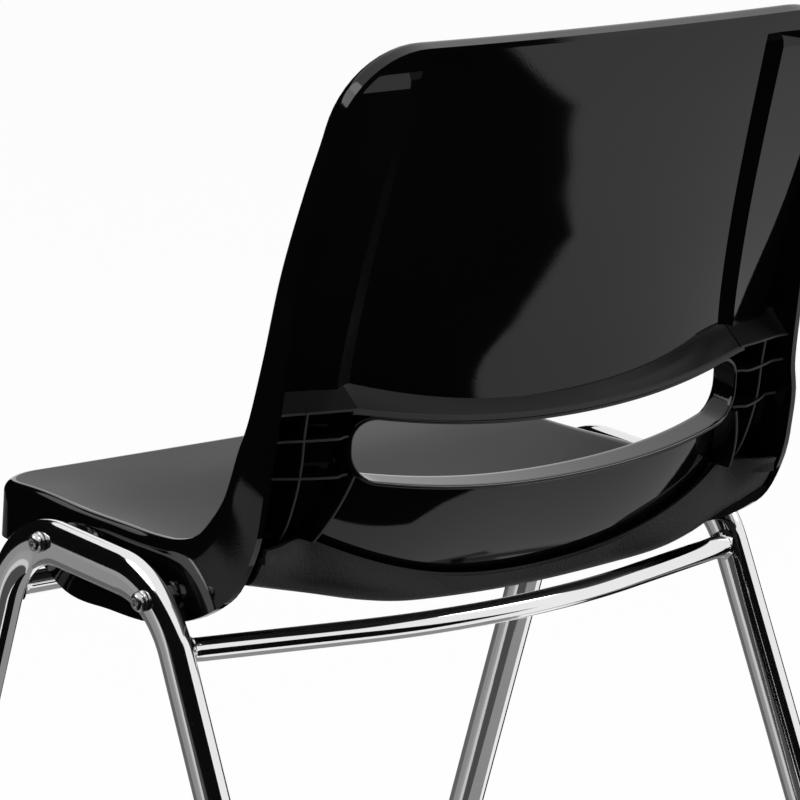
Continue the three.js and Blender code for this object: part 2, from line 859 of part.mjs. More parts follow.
// The pocket beside the slot: two ribs to the flange, an upright rib and one from the slot's corner
function pocketRibs(side) {
  const tip = shelfTip(slotHalfWidth);
  const depthAt = () => ribDepth;
  const ribs = [upperRibDrop, lowerRibDrop].map((drop) => {
    const height = tip - drop + ribFall;
    const end = edgeX(height) + ribLanding;
    const line = lineAcross(side * slotHalfWidth, side * end, () => height, ribSteps);
    return ribSolid(side > 0 ? line : line.reverse(), ribWall, depthAt, () => ribFall);
  });
  const slotCorner = slotMiddle + slotSag - slotHeight / 2;
  const uprights = [
    [uprightRibPlace, uprightRibPlace, uprightRibFoot, tip],
    [cornerRibPlace, slotHalfWidth, cornerRibFoot, slotCorner],
  ].map(([footX, headX, footZ, headZ]) => {
    const line = [];
    for (let i = 0; i <= ribSteps; i++) {
      const share = i / ribSteps;
      line.push(new THREE.Vector2(side * lerp(footX, headX, share), lerp(footZ, headZ, share)));
    }
    return ribSolid(line, ribWall, depthAt, () => 0);
  });
  return [...ribs, ...uprights];
}

// The apron is drawn on its outer side, through a foot, a crest and an upper edge at each place across
function apronCurve(offset) {
  const half = apronShares.map((row) => new THREE.Vector3(
    row[0] * apronHalfWidth, row[offset] * shellDepth, row[offset + 1] * shellHeight,
  ));
  const mirrored = half.slice(1).reverse().map(({ x, y, z }) => new THREE.Vector3(-x, y, z));
  return new THREE.CatmullRomCurve3([...mirrored, ...half]);
}

function apronEdge(x) {
  const inside = Math.min(Math.abs(x), cornerRibPlace);
  const z = apronEdgeMiddle + apronEdgeSag * (inside / cornerRibPlace) ** 2;
  const away = smoothstep(Math.abs(x), cornerRibPlace, apronHalfWidth);
  return new THREE.Vector3(x, lerp(panelY(inside, z) + shellWall / 2, apronEndReach, away), z);
}

function apronSolid() {
  const crests = apronCurve(1);
  const feet = apronCurve(3);
  const { points, triangles } = gridSheet(apronRows, apronColumns, (i, across) => {
    const crest = crests.getPoint((across + 1) / 2);
    const section = [feet.getPoint((across + 1) / 2), crest, apronEdge(crest.x)];
    return new THREE.CatmullRomCurve3(section).getPoint(i / apronRows);
  });
  return solidOf(thicken(geometryOf(points, triangles), -shellWall, 0));
}

// The thicker band of the back beside one side edge, with the ramp along its inner side
function sideBand(side) {
  const rings = [];
  for (let i = 0; i <= bandSteps; i++) {
    const z = lerp(bandStartHeight, shellHeight - bandTopInset, i / bandSteps);
    const rampEnd = bandPlace + bandRampWidth;
    const end = roundedHalfWidth(shareAtHeight(edgeX(z), z));
    const corners = [
      [bandPlace, 0],
      [bandPlace, shellWall / 2],
      [rampEnd, shellWall / 2 + bandRise],
      [end, shellWall / 2 + bandRise],
      [end, 0],
      [rampEnd, 0],
    ];
    rings.push(corners.map(([x, rise]) => new THREE.Vector3(side * x, rootY(x, z) + rise, z)));
  }
  return solidOf(loft(rings));
}

function makeShell() {
  let shell = solidOf(thicken(shellSheet(), 0, shellWall));
  shell = shell.add(slotBar(collarWall, shellWall / 2, collarDepth));
  shell = shell.add(shelfSolid());
  shell = shell.add(apronSolid());
  for (const side of Object.values(sides)) {
    shell = shell.add(sideBand(side));
    for (const rib of pocketRibs(side)) {
      shell = shell.add(rib);
    }
  }
  shell = shell.subtract(slotBar(0, -cutOverrun, collarDepth + shelfShoulderDepth + cutOverrun));
  shell = shell.translate(datum.toArray());
  for (const side of Object.values(sides)) {
    for (const place of Object.values(screwPlaces)) {
      shell = shell.add(screwBar(side, place, bossDiameter, bossFace - bossLength, bossFace));
      const holeEnd = bossFace - insertLength - seatGap;
      const holeDiameter = insertDiameter + 2 * seatGap;
      shell = shell.subtract(screwBar(side, place, holeDiameter, holeEnd, bossFace + cutOverrun));
    }
  }
  return meshOf('seat_shell', shell, blackPlastic);
}

const chair = new THREE.Group();
chair.add(makeShell());
chair.add(makeCrossbar('rear_crossbar', rearCrossbarY));
chair.add(makeCrossbar('front_crossbar', () => -crossbarSpacing));
for (const [sideName, side] of Object.entries(sides)) {
  chair.add(makeSideFrame(`side_frame_${sideName}`, side));
  for (const [placeName, place] of Object.entries(screwPlaces)) {
    const name = `${placeName}_${sideName}`;
    chair.add(makeScrew(`screw_${name}`, side, place));
    chair.add(makeWasher(`washer_${name}`, side, place));
    chair.add(makeSpacer(`spacer_${name}`, side, place));
    chair.add(makeInsert(`insert_${name}`, side, place));
    chair.add(makeGlide(`glide_${name}`, side, legs[placeName]));
  }
}

// The chair stands with the middle of its whole length and width over the origin
const box = new THREE.Box3().setFromObject(chair);
chair.position.y = -(box.min.y + box.max.y) / 2;

export default chair;
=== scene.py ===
# %% [markdown]
# A stacking choir chair seen from behind: a black moulded shell on a bright frame of bent oval tube.
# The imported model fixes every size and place. This script dresses it with smooth pieces and finishes.
# Lengths are written in millimetres and turned into Blender's metres in one place.

import math

import bmesh
import bpy
from mathutils import Matrix, Vector, noise


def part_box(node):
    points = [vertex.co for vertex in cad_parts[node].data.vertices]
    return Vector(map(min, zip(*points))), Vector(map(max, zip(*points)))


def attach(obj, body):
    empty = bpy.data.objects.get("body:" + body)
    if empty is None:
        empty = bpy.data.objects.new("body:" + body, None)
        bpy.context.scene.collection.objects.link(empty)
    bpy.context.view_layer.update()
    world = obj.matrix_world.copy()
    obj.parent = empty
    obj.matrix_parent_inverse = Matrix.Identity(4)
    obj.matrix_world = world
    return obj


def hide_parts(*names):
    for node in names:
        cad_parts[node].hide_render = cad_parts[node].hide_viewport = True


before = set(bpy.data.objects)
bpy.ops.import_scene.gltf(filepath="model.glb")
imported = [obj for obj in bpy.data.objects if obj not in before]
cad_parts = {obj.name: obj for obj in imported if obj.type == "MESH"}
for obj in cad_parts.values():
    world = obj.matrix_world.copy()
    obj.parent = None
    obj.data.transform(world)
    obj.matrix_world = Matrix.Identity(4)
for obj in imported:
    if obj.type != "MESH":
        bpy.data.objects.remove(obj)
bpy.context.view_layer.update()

# %% [markdown]
# Everything is drawn from one point: above the rear crossbar's ends, on the middle plane, at the
# height of the seat's side edges. The front screws lie a known distance in front of that point, so
# their packed boxes say where it is in the model's own frame.

# %% The drawing's origin
MM = 0.001
SIDES = (("left", 1), ("right", -1))
CROSSBAR_HEIGHT = 392.0
FRONT_SCREW_SETBACK = 148.0
SHELL_LIFT = 63.04
screw_low, screw_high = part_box("screw_front_left")
DATUM_Y = (screw_low[1] + screw_high[1]) / 2 / MM + FRONT_SCREW_SETBACK
print("rear crossbar joint lies at y =", round(DATUM_Y, 2), "mm")


def at(x, y, z):
    """A point in metres, from millimetres measured from the crossbar joint and from the floor."""
    return Vector((x, y + DATUM_Y, z)) * MM


def on_shell(x, y, z):
    """The same, with the height measured from the seat's side edges."""
    return at(x, y, z + CROSSBAR_HEIGHT + SHELL_LIFT)


# %% [markdown]
# The camera stands behind the chair on its left, a little above the seat, with a long lens. The
# numbers were found by lining the model up with the photograph, and the picture is square.

# %% Camera
camera_data = bpy.data.cameras.new("camera")
camera_data.lens = 196.35
camera_data.sensor_width = 36.0
camera_data.clip_start = 0.1
camera_data.clip_end = 60.0
camera = bpy.data.objects.new("camera", camera_data)
bpy.context.collection.objects.link(camera)
camera.location = at(1731.2, 2223.8, 1149.7)
look_at = at(18.4, -49.1, 518.9)
camera.rotation_euler = (look_at - camera.location).to_track_quat("-Z", "Y").to_euler()
bpy.context.scene.camera = camera
print("camera at", [round(c, 3) for c in camera.location])

# %% [markdown]
# Piece helpers. A finished mesh gets smooth faces with its hard edges kept sharp, rides on the one
# body of the chair, takes its finishes, and hides the plain node that it stands for.


# %% Piece helpers
def keep_hard_edges(bm, angle):
    """Smooth faces everywhere, with edges sharper than the angle kept hard."""
    for face in bm.faces:
        face.smooth = True
    for edge in bm.edges:
        turn = edge.calc_face_angle(0.0)
        edge.smooth = turn < angle


def new_object(name, bm, materials=()):
    """An object of the scene, made from a bmesh."""
    mesh = bpy.data.meshes.new(name)
    bm.to_mesh(mesh)
    bm.free()
    for material in materials:
        mesh.materials.append(material)
    made = bpy.data.objects.new(name, mesh)
    bpy.context.collection.objects.link(made)
    return made


def make_piece(name, bm, materials, stands_for, hard_angle):
    """Turns a bmesh into a piece of the chair."""
    keep_hard_edges(bm, math.radians(hard_angle))
    piece = new_object(name, bm, materials)
    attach(piece, "root")
    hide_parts(*stands_for)
    print(name, len(piece.data.polygons), "faces")
    return piece


def shell_piece(name, bm, materials, hard_angle=50.0):
    """A piece of the shell's one moulding."""
    return make_piece(name, bm, materials, ["seat_shell"], hard_angle)


def tidy(bm, distance=1e-6):
    """Merges doubles and turns every face outwards."""
    bmesh.ops.remove_doubles(bm, verts=bm.verts[:], dist=distance)
    bmesh.ops.recalc_face_normals(bm, faces=bm.faces[:])


def neighbours(verts, closed):
    """Each point of a row with the next one. A closed row ends with its last and first point."""
    return list(zip(verts, verts[1:] + verts[:1] if closed else verts[1:]))


def row_edges(bm, verts, closed=True):
    return [bm.edges.get(pair) for pair in neighbours(verts, closed)]


def row_of_edges(bm, points, closed=True):
    """New edges through the points, as a closed ring or an open row."""
    verts = [bm.verts.new(point) for point in points]
    for pair in neighbours(verts, closed):
        bm.edges.new(pair)
    return verts


def extrude_row(bm, verts, points, closed=True):
    """Extrudes a row of edges and puts the new row on the points. Returns the new row."""
    made = bmesh.ops.extrude_edge_only(bm, edges=row_edges(bm, verts, closed))["geom"]
    fresh = {v for v in made if isinstance(v, bmesh.types.BMVert)}
    row = []
    for old, point in zip(verts, points):
        new = next(e.other_vert(old) for e in old.link_edges if e.other_vert(old) in fresh)
        new.co = point
        row.append(new)
    return row


def loft(bm, rings):
    """A closed skin through rings of points."""
    first = verts = row_of_edges(bm, rings[0])
    for points in rings[1:]:
        verts = extrude_row(bm, verts, points)
    bm.faces.new(first)
    bm.faces.new(verts)
    tidy(bm)


def give_second_finish(bm, points):
    """Gives the second finish to the faces whose corners are all among the points."""
    marked = {tuple(round(c, 6) for c in point) for point in points}
    for face in bm.faces:
        if all(tuple(round(c, 6) for c in v.co) in marked for v in face.verts):
            face.material_index = 1


# %% [markdown]
# Procedural finishes. Black plastic is nearly all reflection, so its colour stays dark and what
# changes is how smooth it is: the back of the shell is polished like the mould, the sitting face
# has a fine leather-like grain, and the apron under the seat is coarsely textured, with painted
# shade darkening its colour in the grain's hollows. The ramps of the side bands hardly reflect,
# because the photograph shows them black; this darker finish is painted shade. The free edges of
# the shelf and ribs take a lighter black, a painted highlight. Small uneven spots come from
# noise on Object coordinates. The grain is one node group, used at several scales.


# %% Shared grain group
def grain_group():
    """A node group: a fine bump height and a slow mottle, at a scale that each finish sets."""
    group = bpy.data.node_groups.new("grain", "ShaderNodeTree")
    scale = group.interface.new_socket("Scale", in_out="INPUT", socket_type="NodeSocketFloat")
    scale.default_value = 900.0
    group.interface.new_socket("Height", in_out="OUTPUT", socket_type="NodeSocketFloat")
    group.interface.new_socket("Mottle", in_out="OUTPUT", socket_type="NodeSocketFloat")
    nodes, links = group.nodes, group.links
    inside = nodes.new("NodeGroupInput")
    outside = nodes.new("NodeGroupOutput")
    place = nodes.new("ShaderNodeTexCoord")
    fine = nodes.new("ShaderNodeTexNoise")
    fine.inputs["Detail"].default_value = 3.0
    fine.inputs["Roughness"].default_value = 0.55
    slow = nodes.new("ShaderNodeTexNoise")
    slow.inputs["Scale"].default_value = 9.0
    slow.inputs["Detail"].default_value = 4.0
    links.new(place.outputs["Object"], fine.inputs["Vector"])
    links.new(place.outputs["Object"], slow.inputs["Vector"])
    links.new(inside.outputs["Scale"], fine.inputs["Scale"])
    links.new(fine.outputs["Fac"], outside.inputs["Height"])
    links.new(slow.outputs["Fac"], outside.inputs["Mottle"])
    return group


GRAIN = grain_group()


def rough_between(nodes, links, fac, low, high, socket):
    """Drives a roughness socket between two values with a mask."""
    ramp = nodes.new("ShaderNodeMapRange")
    ramp.inputs["From Min"].default_value = 0.3
    ramp.inputs["From Max"].default_value = 0.7
    ramp.inputs["To Min"].default_value = low
    ramp.inputs["To Max"].default_value = high
    links.new(fac, ramp.inputs["Value"])
    links.new(ramp.outputs["Result"], socket)


def mottled_colour(nodes, links, fac, dark, light, socket):
    """Shifts the colour slightly with a mask, as moulded plastic and worn metal do. Where the mask is
    the grain's height, the shift is painted shade in the grain's hollows.
    """
    mix = nodes.new("ShaderNodeMix")
    mix.data_type = "RGBA"
    mix.inputs["A"].default_value = (*dark, 1.0)
    mix.inputs["B"].default_value = (*light, 1.0)
    links.new(fac, mix.inputs["Factor"])
    links.new(mix.outputs["Result"], socket)


def bump(nodes, links, height, strength, distance, before):
    """A bump on top of the bump before it. Returns its normal."""
    node = nodes.new("ShaderNodeBump")
    node.inputs["Strength"].default_value = strength
    node.inputs["Distance"].default_value = distance
    links.new(height, node.inputs["Height"])
    if before is not None:
        links.new(before, node.inputs["Normal"])
    return node.outputs["Normal"]


def waves(nodes, links, scale):
    """Slow waviness, as a large moulding has."""
    place = nodes.new("ShaderNodeTexCoord")
    swell = nodes.new("ShaderNodeTexNoise")
    swell.inputs["Scale"].default_value = scale
    swell.inputs["Detail"].default_value = 1.0
    links.new(place.outputs["Object"], swell.inputs["Vector"])
    return swell.outputs["Fac"]


def finish(name, base, dark, light, low, high, scale, ior=None, metallic=0.0, bumps=(),
           rough_by="Mottle", colour_by="Mottle"):
    """A Principled finish whose colour and roughness shift slowly between two values.

    Each bump is a wave's scale, or None for the grain, with its strength and its distance.
    """
    material = bpy.data.materials.new(name)
    material.use_nodes = True
    nodes, links = material.node_tree.nodes, material.node_tree.links
    shader = nodes["Principled BSDF"]
    shader.inputs["Base Color"].default_value = (*base, 1.0)
    shader.inputs["Metallic"].default_value = metallic
    if ior is not None:
        shader.inputs["IOR"].default_value = ior
    grain = nodes.new("ShaderNodeGroup")
    grain.node_tree = GRAIN
    grain.inputs["Scale"].default_value = scale
    rough_between(nodes, links, grain.outputs[rough_by], low, high, shader.inputs["Roughness"])
    mottled_colour(nodes, links, grain.outputs[colour_by], dark, light, shader.inputs["Base Color"])
    normal = None
    for swell, strength, distance in bumps:
        height = grain.outputs["Height"] if swell is None else waves(nodes, links, swell)
        normal = bump(nodes, links, height, strength, distance, normal)
    if normal is not None:
        links.new(normal, shader.inputs["Normal"])
    return material


def dull_plastic(name, dark, light, low, high, ior=1.2):
    """The duller black of the shelf, the band ramps' darker finish (painted shade) and the blades'
    lighter edges (painted highlight).
    """
    return finish(name, dark, dark, light, low, high, 900.0, ior, bumps=[(None, 0.12, 0.0003)])


# Finishes of the shell
POLISHED = finish("polished_black", (0.002, 0.002, 0.0021), (0.0013, 0.0013, 0.0014),
                  (0.0024, 0.0024, 0.0025), 0.035, 0.06, 700.0, 1.39,
                  bumps=[(7.0, 0.12, 0.004), (None, 0.03, 0.0003)])
SATIN = finish("satin_black", (0.011, 0.011, 0.0115), (0.008, 0.008, 0.0084),
               (0.011, 0.011, 0.0115), 0.46, 0.53, 1300.0, 1.42, bumps=[(None, 0.25, 0.0004)])
# The apron's colour follows its grain's height, darker in the hollows and lighter on the tops: painted
# shade in the grain.
GRAINED = finish("grained_black", (0.010, 0.010, 0.0105), (0.006, 0.006, 0.0063),
                 (0.015, 0.015, 0.0155), 0.36, 0.5, 620.0, 1.28, bumps=[(None, 0.6, 0.0008)],
                 colour_by="Height")
DULL = dull_plastic("dull_black", (0.006, 0.006, 0.0063), (0.010, 0.010, 0.0104), 0.24, 0.34)
# A darker finish that hardly reflects, for the band ramps: painted shade along each ramp.
PAINTED_SHADE_RAMP = dull_plastic("ramp_black", (0.0012, 0.0012, 0.0013), (0.0024, 0.0024, 0.0025),
                    0.1, 0.18, 1.12)
# A lighter black for the free edges of the shelf and ribs: a painted highlight along each edge.
HIGHLIGHT_EDGE = dull_plastic("worn_edge_black", (0.022, 0.022, 0.0225), (0.045, 0.045, 0.046), 0.34, 0.5)

# %% [markdown]
# The tubes are chromed steel, the screws, washers and sleeves are zinc plated, the inserts are brass
# and the feet are rubber. A bare metal shows what it mirrors, so each metal is fully metallic with
# a bright colour, and only its roughness tells new chrome from duller zinc.

# %% Finishes of the frame, fasteners and feet
CHROME = finish("chrome_plate", (0.80, 0.80, 0.81), (0.74, 0.74, 0.75), (0.84, 0.84, 0.85),
                0.03, 0.09, 260.0, metallic=1.0, bumps=[(60.0, 0.05, 0.0006)])
ZINC = finish("zinc_steel", (0.58, 0.58, 0.59), (0.48, 0.48, 0.49), (0.66, 0.66, 0.67),
              0.16, 0.32, 2400.0, metallic=1.0, bumps=[(None, 0.15, 0.0001)], rough_by="Height")
BRASS = finish("plain_brass", (0.62, 0.47, 0.22), (0.5, 0.37, 0.16), (0.66, 0.5, 0.25),
               0.25, 0.4, 900.0, metallic=1.0)
RUBBER = finish("moulded_rubber", (0.018, 0.018, 0.018), (0.013, 0.013, 0.013),
                (0.026, 0.026, 0.026), 0.6, 0.8, 500.0, bumps=[(None, 0.3, 0.0005)])
print("finishes made:", len(bpy.data.materials))

# %% [markdown]
# The shell is one moulding. Its sitting face is measured at stations from the front lip to the top
# edge: where the side edge runs, where the centre line runs, how wide the face is there and how far
# the skirt hangs. Smooth curves join the stations, and between side and centre each cross-section is
# bowed. That surface is drawn as a grid whose points are moved onto it.

# %% Shell stations
STATIONS = [
    (-263.1, -2.9, -264.9, -3.9, 201.3, 31.0),
    (-205.0, -1.0, -205.0, -9.2, 202.0, 33.0),
    (-149.9, -2.6, -149.9, -21.9, 203.1, 50.0),
    (-99.9, -2.9, -98.0, -33.0, 203.1, 50.0),
    (-59.9, -2.9, -50.0, -39.9, 203.1, 49.0),
    (-30.0, 0.0, -10.0, -42.8, 203.7, 46.0),
    (-5.2, 7.8, 21.8, -42.8, 204.2, 45.0),
    (11.8, 20.9, 42.2, -37.9, 204.2, 48.0),
    (25.9, 37.0, 55.9, -22.9, 204.2, 44.0),
    (35.9, 56.9, 68.8, 2.9, 204.2, 38.5),
    (42.9, 74.9, 79.2, 35.0, 204.2, 34.0),
    (48.1, 89.9, 84.0, 71.9, 203.1, 29.0),
    (62.5, 134.1, 88.1, 134.1, 202.9, 22.0),
    (82.6, 193.9, 98.0, 194.2, 203.3, 13.5),
    (101.8, 245.2, 111.0, 245.4, 200.2, 9.0),
    (119.0, 288.6, 123.0, 288.0, 196.5, 8.5),
    (137.0, 332.5, 134.0, 328.5, 197.5, 8.0),
]
WALL = 4.0
RIM_RADIUS = 8.0
RIM_FLARE = math.radians(5.0)
FRONT_CORNER, TOP_CORNER = 31.0, 49.0
SEAT_BOW_REACH, BACK_BOW = 56.7, 2.1
BLEND_FROM, BLEND_TO = 0.55, 0.8
PANEL_FROM = 0.34
SEAT_MIDDLE = 0.2


def smooth_curve(points):
    """A centripetal Catmull-Rom curve: share 0 is the first point and share 1 the last."""
    points = [2 * points[0] - points[1]] + points + [2 * points[-1] - points[-2]]

    def place(share):
        span = max(min(share, 1.0), 0.0) * (len(points) - 3)
        k = min(int(span), len(points) - 4)
        t = span - k
        p0, p1, p2, p3 = points[k:k + 4]
        d0, d1, d2 = (max((b - a).length, 1e-9) ** 0.5 for a, b in ((p0, p1), (p1, p2), (p2, p3)))
        m1 = ((p1 - p0) / d0 - (p2 - p0) / (d0 + d1) + (p2 - p1) / d1) * d1
        m2 = ((p2 - p1) / d1 - (p3 - p1) / (d1 + d2) + (p3 - p2) / d2) * d1
        c2 = 3 * (p2 - p1) - 2 * m1 - m2
        c3 = 2 * (p1 - p2) + m1 + m2
        return p1 + m1 * t + c2 * t * t + c3 * t ** 3

    return place


side_curve = smooth_curve([Vector((w, y, z)) for y, z, _, _, w, _ in STATIONS])
centre_curve = smooth_curve([Vector((0, y, z)) for _, _, y, z, _, _ in STATIONS])
skirt_curve = smooth_curve([Vector((s, y, z)) for y, z, _, _, _, s in STATIONS])


def lerp(a, b, t):
    return a + (b - a) * t


def smoothstep(x, low, high):
    t = max(0.0, min(1.0, (x - low) / (high - low)))
    return t * t * (3 - 2 * t)


def shell_point(share, x):
    """A point of the sitting face, in millimetres from the drawing's origin."""
    side, centre = side_curve(share), centre_curve(share)
    power = lerp(side.x / SEAT_BOW_REACH, BACK_BOW, smoothstep(share, BLEND_FROM, BLEND_TO))
    bow = abs(x / side.x) ** power
    return Vector((x, lerp(centre.y, side.y, bow), lerp(centre.z, side.z, bow)))


# Lengths along the side edge
STEPS = 600
side_points = [side_curve(i / STEPS) for i in range(STEPS + 1)]
side_lengths = [0.0]
for before, after in zip(side_points, side_points[1:]):
    side_lengths.append(side_lengths[-1] + (after - before).length)
SIDE_LENGTH = side_lengths[-1]
print("side edge is", round(SIDE_LENGTH), "mm long")


def length_at(share):
    place = share * STEPS
    low = min(int(place), STEPS - 1)
    return lerp(side_lengths[low], side_lengths[low + 1], place - low)


def solve(value, low, high, rising):
    """Where a rising function reaches a value."""
    for _ in range(34):
        middle = (low + high) / 2
        if rising(middle) < value:
            low = middle
        else:
            high = middle
    return (low + high) / 2


def half_width(share):
    """Half the face's width, rounded in at the front and top corners."""
    length = length_at(share)
    width = side_curve(share).x
    for distance, radius in ((length, FRONT_CORNER), (SIDE_LENGTH - length, TOP_CORNER)):
        short = max(radius - max(distance, 0.0), 0.0)
        width -= radius - math.sqrt(radius * radius - short * short)
    return width


CORNER_ROWS, FACE_ROWS, FACE_COLUMNS = 12, 96, 72


def row_shares():
    rises = [1 - math.cos(math.pi / 2 * i / CORNER_ROWS) for i in range(CORNER_ROWS)]
    lengths = [FRONT_CORNER * rise for rise in rises]
    for i in range(FACE_ROWS + 1):
        lengths.append(lerp(FRONT_CORNER, SIDE_LENGTH - TOP_CORNER, i / FACE_ROWS))
    lengths += [SIDE_LENGTH - TOP_CORNER * rise for rise in reversed(rises)]
    return [solve(length, 0.0, 1.0, length_at) for length in lengths]


# %% [markdown]
# The face starts as a flat grid from bmesh.ops.create_grid. Each grid point knows its row and column,
# so it can be put on the surface. The grid's open border is then extruded ring by ring: first round
# a quarter turn that makes the rolled rim, then straight down as the skirt.

# %% Sitting face and rolled rim
ROLL_STEPS, SKIRT_STEPS = 8, 5


def face_grid(bm):
    """The sitting face. Returns the share of the row that each border point lies on."""
    shares = row_shares()
    rows = len(shares) - 1
    bmesh.ops.create_grid(bm, x_segments=FACE_COLUMNS, y_segments=rows, size=1.0)
    row_of = {}
    for v in bm.verts:
        share = shares[round((v.co.y + 1) / 2 * rows)]
        row_of[v] = share
        v.co = shell_point(share, v.co.x * half_width(share))
    bm.normal_update()
    return row_of


def border_loop(bm):
    """The border's points in order."""
    start = next(v for v in bm.verts if v.is_boundary)
    loop, previous, here = [start], None, start
    while True:
        ahead = [e.other_vert(here) for e in here.link_edges if e.is_boundary]
        step = next(v for v in ahead if v is not previous)
        if step is start:
            return loop
        loop.append(step)
        previous, here = here, step


def roll_frame(before, here, after, share):
    """How the rim turns at one border point: its first direction, its inner side and the skirt."""
    along = (side_curve(min(share + 1e-4, 1)) - side_curve(max(share - 1e-4, 0))).normalized()
    forward = (after.co - before.co).normalized()
    down = Vector((0, along.z, -along.y)).normalized()
    out = down.cross(forward).normalized()
    drop = forward.cross(out).normalized()
    skirt = drop * math.cos(RIM_FLARE) + out * math.sin(RIM_FLARE)
    start = forward.cross(here.normal).normalized()
    inner = forward.cross(start).normalized()
    full = math.atan2(skirt.dot(inner), skirt.dot(start))
    return here.co.copy(), start, inner, skirt, full, skirt_curve(share).x


def roll_point(roll, step):
    origin, start, inner, skirt, full, depth = roll
    angle = full * min(step / ROLL_STEPS, 1.0)
    point = origin + start * RIM_RADIUS * math.sin(angle)
    point += inner * RIM_RADIUS * (1 - math.cos(angle))
    if step > ROLL_STEPS:
        point += skirt * depth * (step - ROLL_STEPS) / SKIRT_STEPS
    return point


def turn_upwards(bm):
    """Turns the whole sheet over if the seat's middle looks down."""
    middle = shell_point(SEAT_MIDDLE, 0)
    nearest = min(bm.faces, key=lambda f: (f.calc_center_median() - middle).length)
    if nearest.normal.z < 0:
        bmesh.ops.reverse_faces(bm, faces=bm.faces[:])


def skin_sheet():
    """The whole outer sheet of the shell, with the sitting face marked as the satin finish."""
    bm = bmesh.new()
    row_of = face_grid(bm)
    turn_upwards(bm)
    bm.normal_update()
    loop = border_loop(bm)
    first_ahead = loop[1].co - loop[0].co
    if first_ahead.cross(loop[0].normal).dot(loop[0].co - shell_point(SEAT_MIDDLE, 0)) < 0:
        loop.reverse()
    count = len(loop)
    rolls = [roll_frame(loop[k - 1], v, loop[(k + 1) % count], row_of[v])
             for k, v in enumerate(loop)]
    sitting_face = set(bm.faces)
    ring = loop
    for step in range(1, ROLL_STEPS + SKIRT_STEPS + 1):
        ring = extrude_row(bm, ring, [roll_point(roll, step) for roll in rolls])
    for face in bm.faces:
        face.material_index = 1 if face in sitting_face else 0
    return bm


def shell_skin():
    bm = skin_sheet()
    bmesh.ops.recalc_face_normals(bm, faces=bm.faces[:])
    turn_upwards(bm)
    print("sheet faces", len(bm.faces))
    made = bmesh.ops.solidify(bm, geom=bm.faces[:], thickness=WALL)
    for f in made["geom"]:
        if isinstance(f, bmesh.types.BMFace):
            f.material_index = 0
    return bm


# %% [markdown]
# The hand-hold is a smile-shaped slot with round corners. A collar round it stands out behind the
# panel. The slot is cut with a Boolean modifier, because the panel is curved both ways, and the
# modifier is applied at once so that the finished skin holds only its own faces.

# %% Places on the back panel
SLOT_HALF, SLOT_HEIGHT, SLOT_MIDDLE, SLOT_SAG, SLOT_RADIUS = 158.2, 40.0, 61.0, 17.0, 17.0
SLOT_TILT = math.radians(6.0)
COLLAR_DEPTH, COLLAR_WALL, COLLAR_RIM = 22.0, 3.0, 1.5
COLLAR_LIP = ((2.2, 2.0), (1.6, -0.2), (0.6, -0.5), (0.0, 0.6))
CUT_GAP, CUT_REACH = 0.6, 45.0


def panel_y(x, z):
    share = solve(z, PANEL_FROM, 1.0, lambda s: shell_point(s, x).z)
    return shell_point(share, x).y


def edge_x(z):
    return side_curve(solve(z, PANEL_FROM, 1.0, lambda s: side_curve(s).z)).x


def clamped_panel_y(x, z):
    edge = edge_x(z)
    return panel_y(max(-edge, min(edge, x)), z)


def slot_outline(grow, corner_steps=9, side_steps=44):
    """Points round the slot in X and Z, grown outwards by a wall."""
    half, tall, radius = SLOT_HALF + grow, SLOT_HEIGHT / 2 + grow, SLOT_RADIUS + grow
    flat = []
    for cx, cz, first in ((half - radius, radius - tall, -90), (half - radius, tall - radius, 0),
                          (radius - half, tall - radius, 90), (radius - half, radius - tall, 180)):
        for i in range(corner_steps + 1):
            angle = math.radians(first + 90 * i / corner_steps)
            flat.append((cx + radius * math.cos(angle), cz + radius * math.sin(angle)))
        if first in (0, 180):
            sign = 1 if first == 180 else -1
            for i in range(1, side_steps):
                flat.append((sign * (half - radius) * (2 * i / side_steps - 1), -sign * tall))
    return [(x, z + SLOT_MIDDLE + SLOT_SAG * (x / SLOT_HALF) ** 2) for x, z in flat]


def slot_ring(grow, offset):
    """The slot's outline behind the panel by an offset, dropping with the slot's tilt."""
    return [on_shell(x, panel_y(x, z) + offset, z - offset * math.tan(SLOT_TILT))
            for x, z in slot_outline(grow)]


# Shell skin with its slot
def cut_away(piece, cutter_bm):
    """Cuts one closed shape out of a piece and applies the cut."""
    cutter = new_object("cutter", cutter_bm)
    cut = piece.modifiers.new("slot", "BOOLEAN")
    cut.operation = "DIFFERENCE"
    cut.solver = "EXACT"
    cut.object = cutter
    ready = piece.evaluated_get(bpy.context.evaluated_depsgraph_get())
    old = piece.data
    piece.data = bpy.data.meshes.new_from_object(ready)
    piece.modifiers.clear()
    bpy.data.meshes.remove(old)
    bpy.data.meshes.remove(cutter.data)


skin_bm = shell_skin()
for v in skin_bm.verts:
    v.co = on_shell(*v.co)
skin = shell_piece("shell_skin", skin_bm, [POLISHED, SATIN], 32.0)
slot_bm = bmesh.new()
loft(slot_bm, [slot_ring(CUT_GAP, offset) for offset in (-CUT_REACH, 0.0, CUT_REACH)])
cut_away(skin, slot_bm)
print("skin after the cut:", len(skin.data.polygons), "faces")

# %% [markdown]
# The collar is lofted from the slot's outline: it starts just proud of the sitting face with a small
# rounded lip, runs to the rear as a wall, turns over a rounded rim and comes back outside.

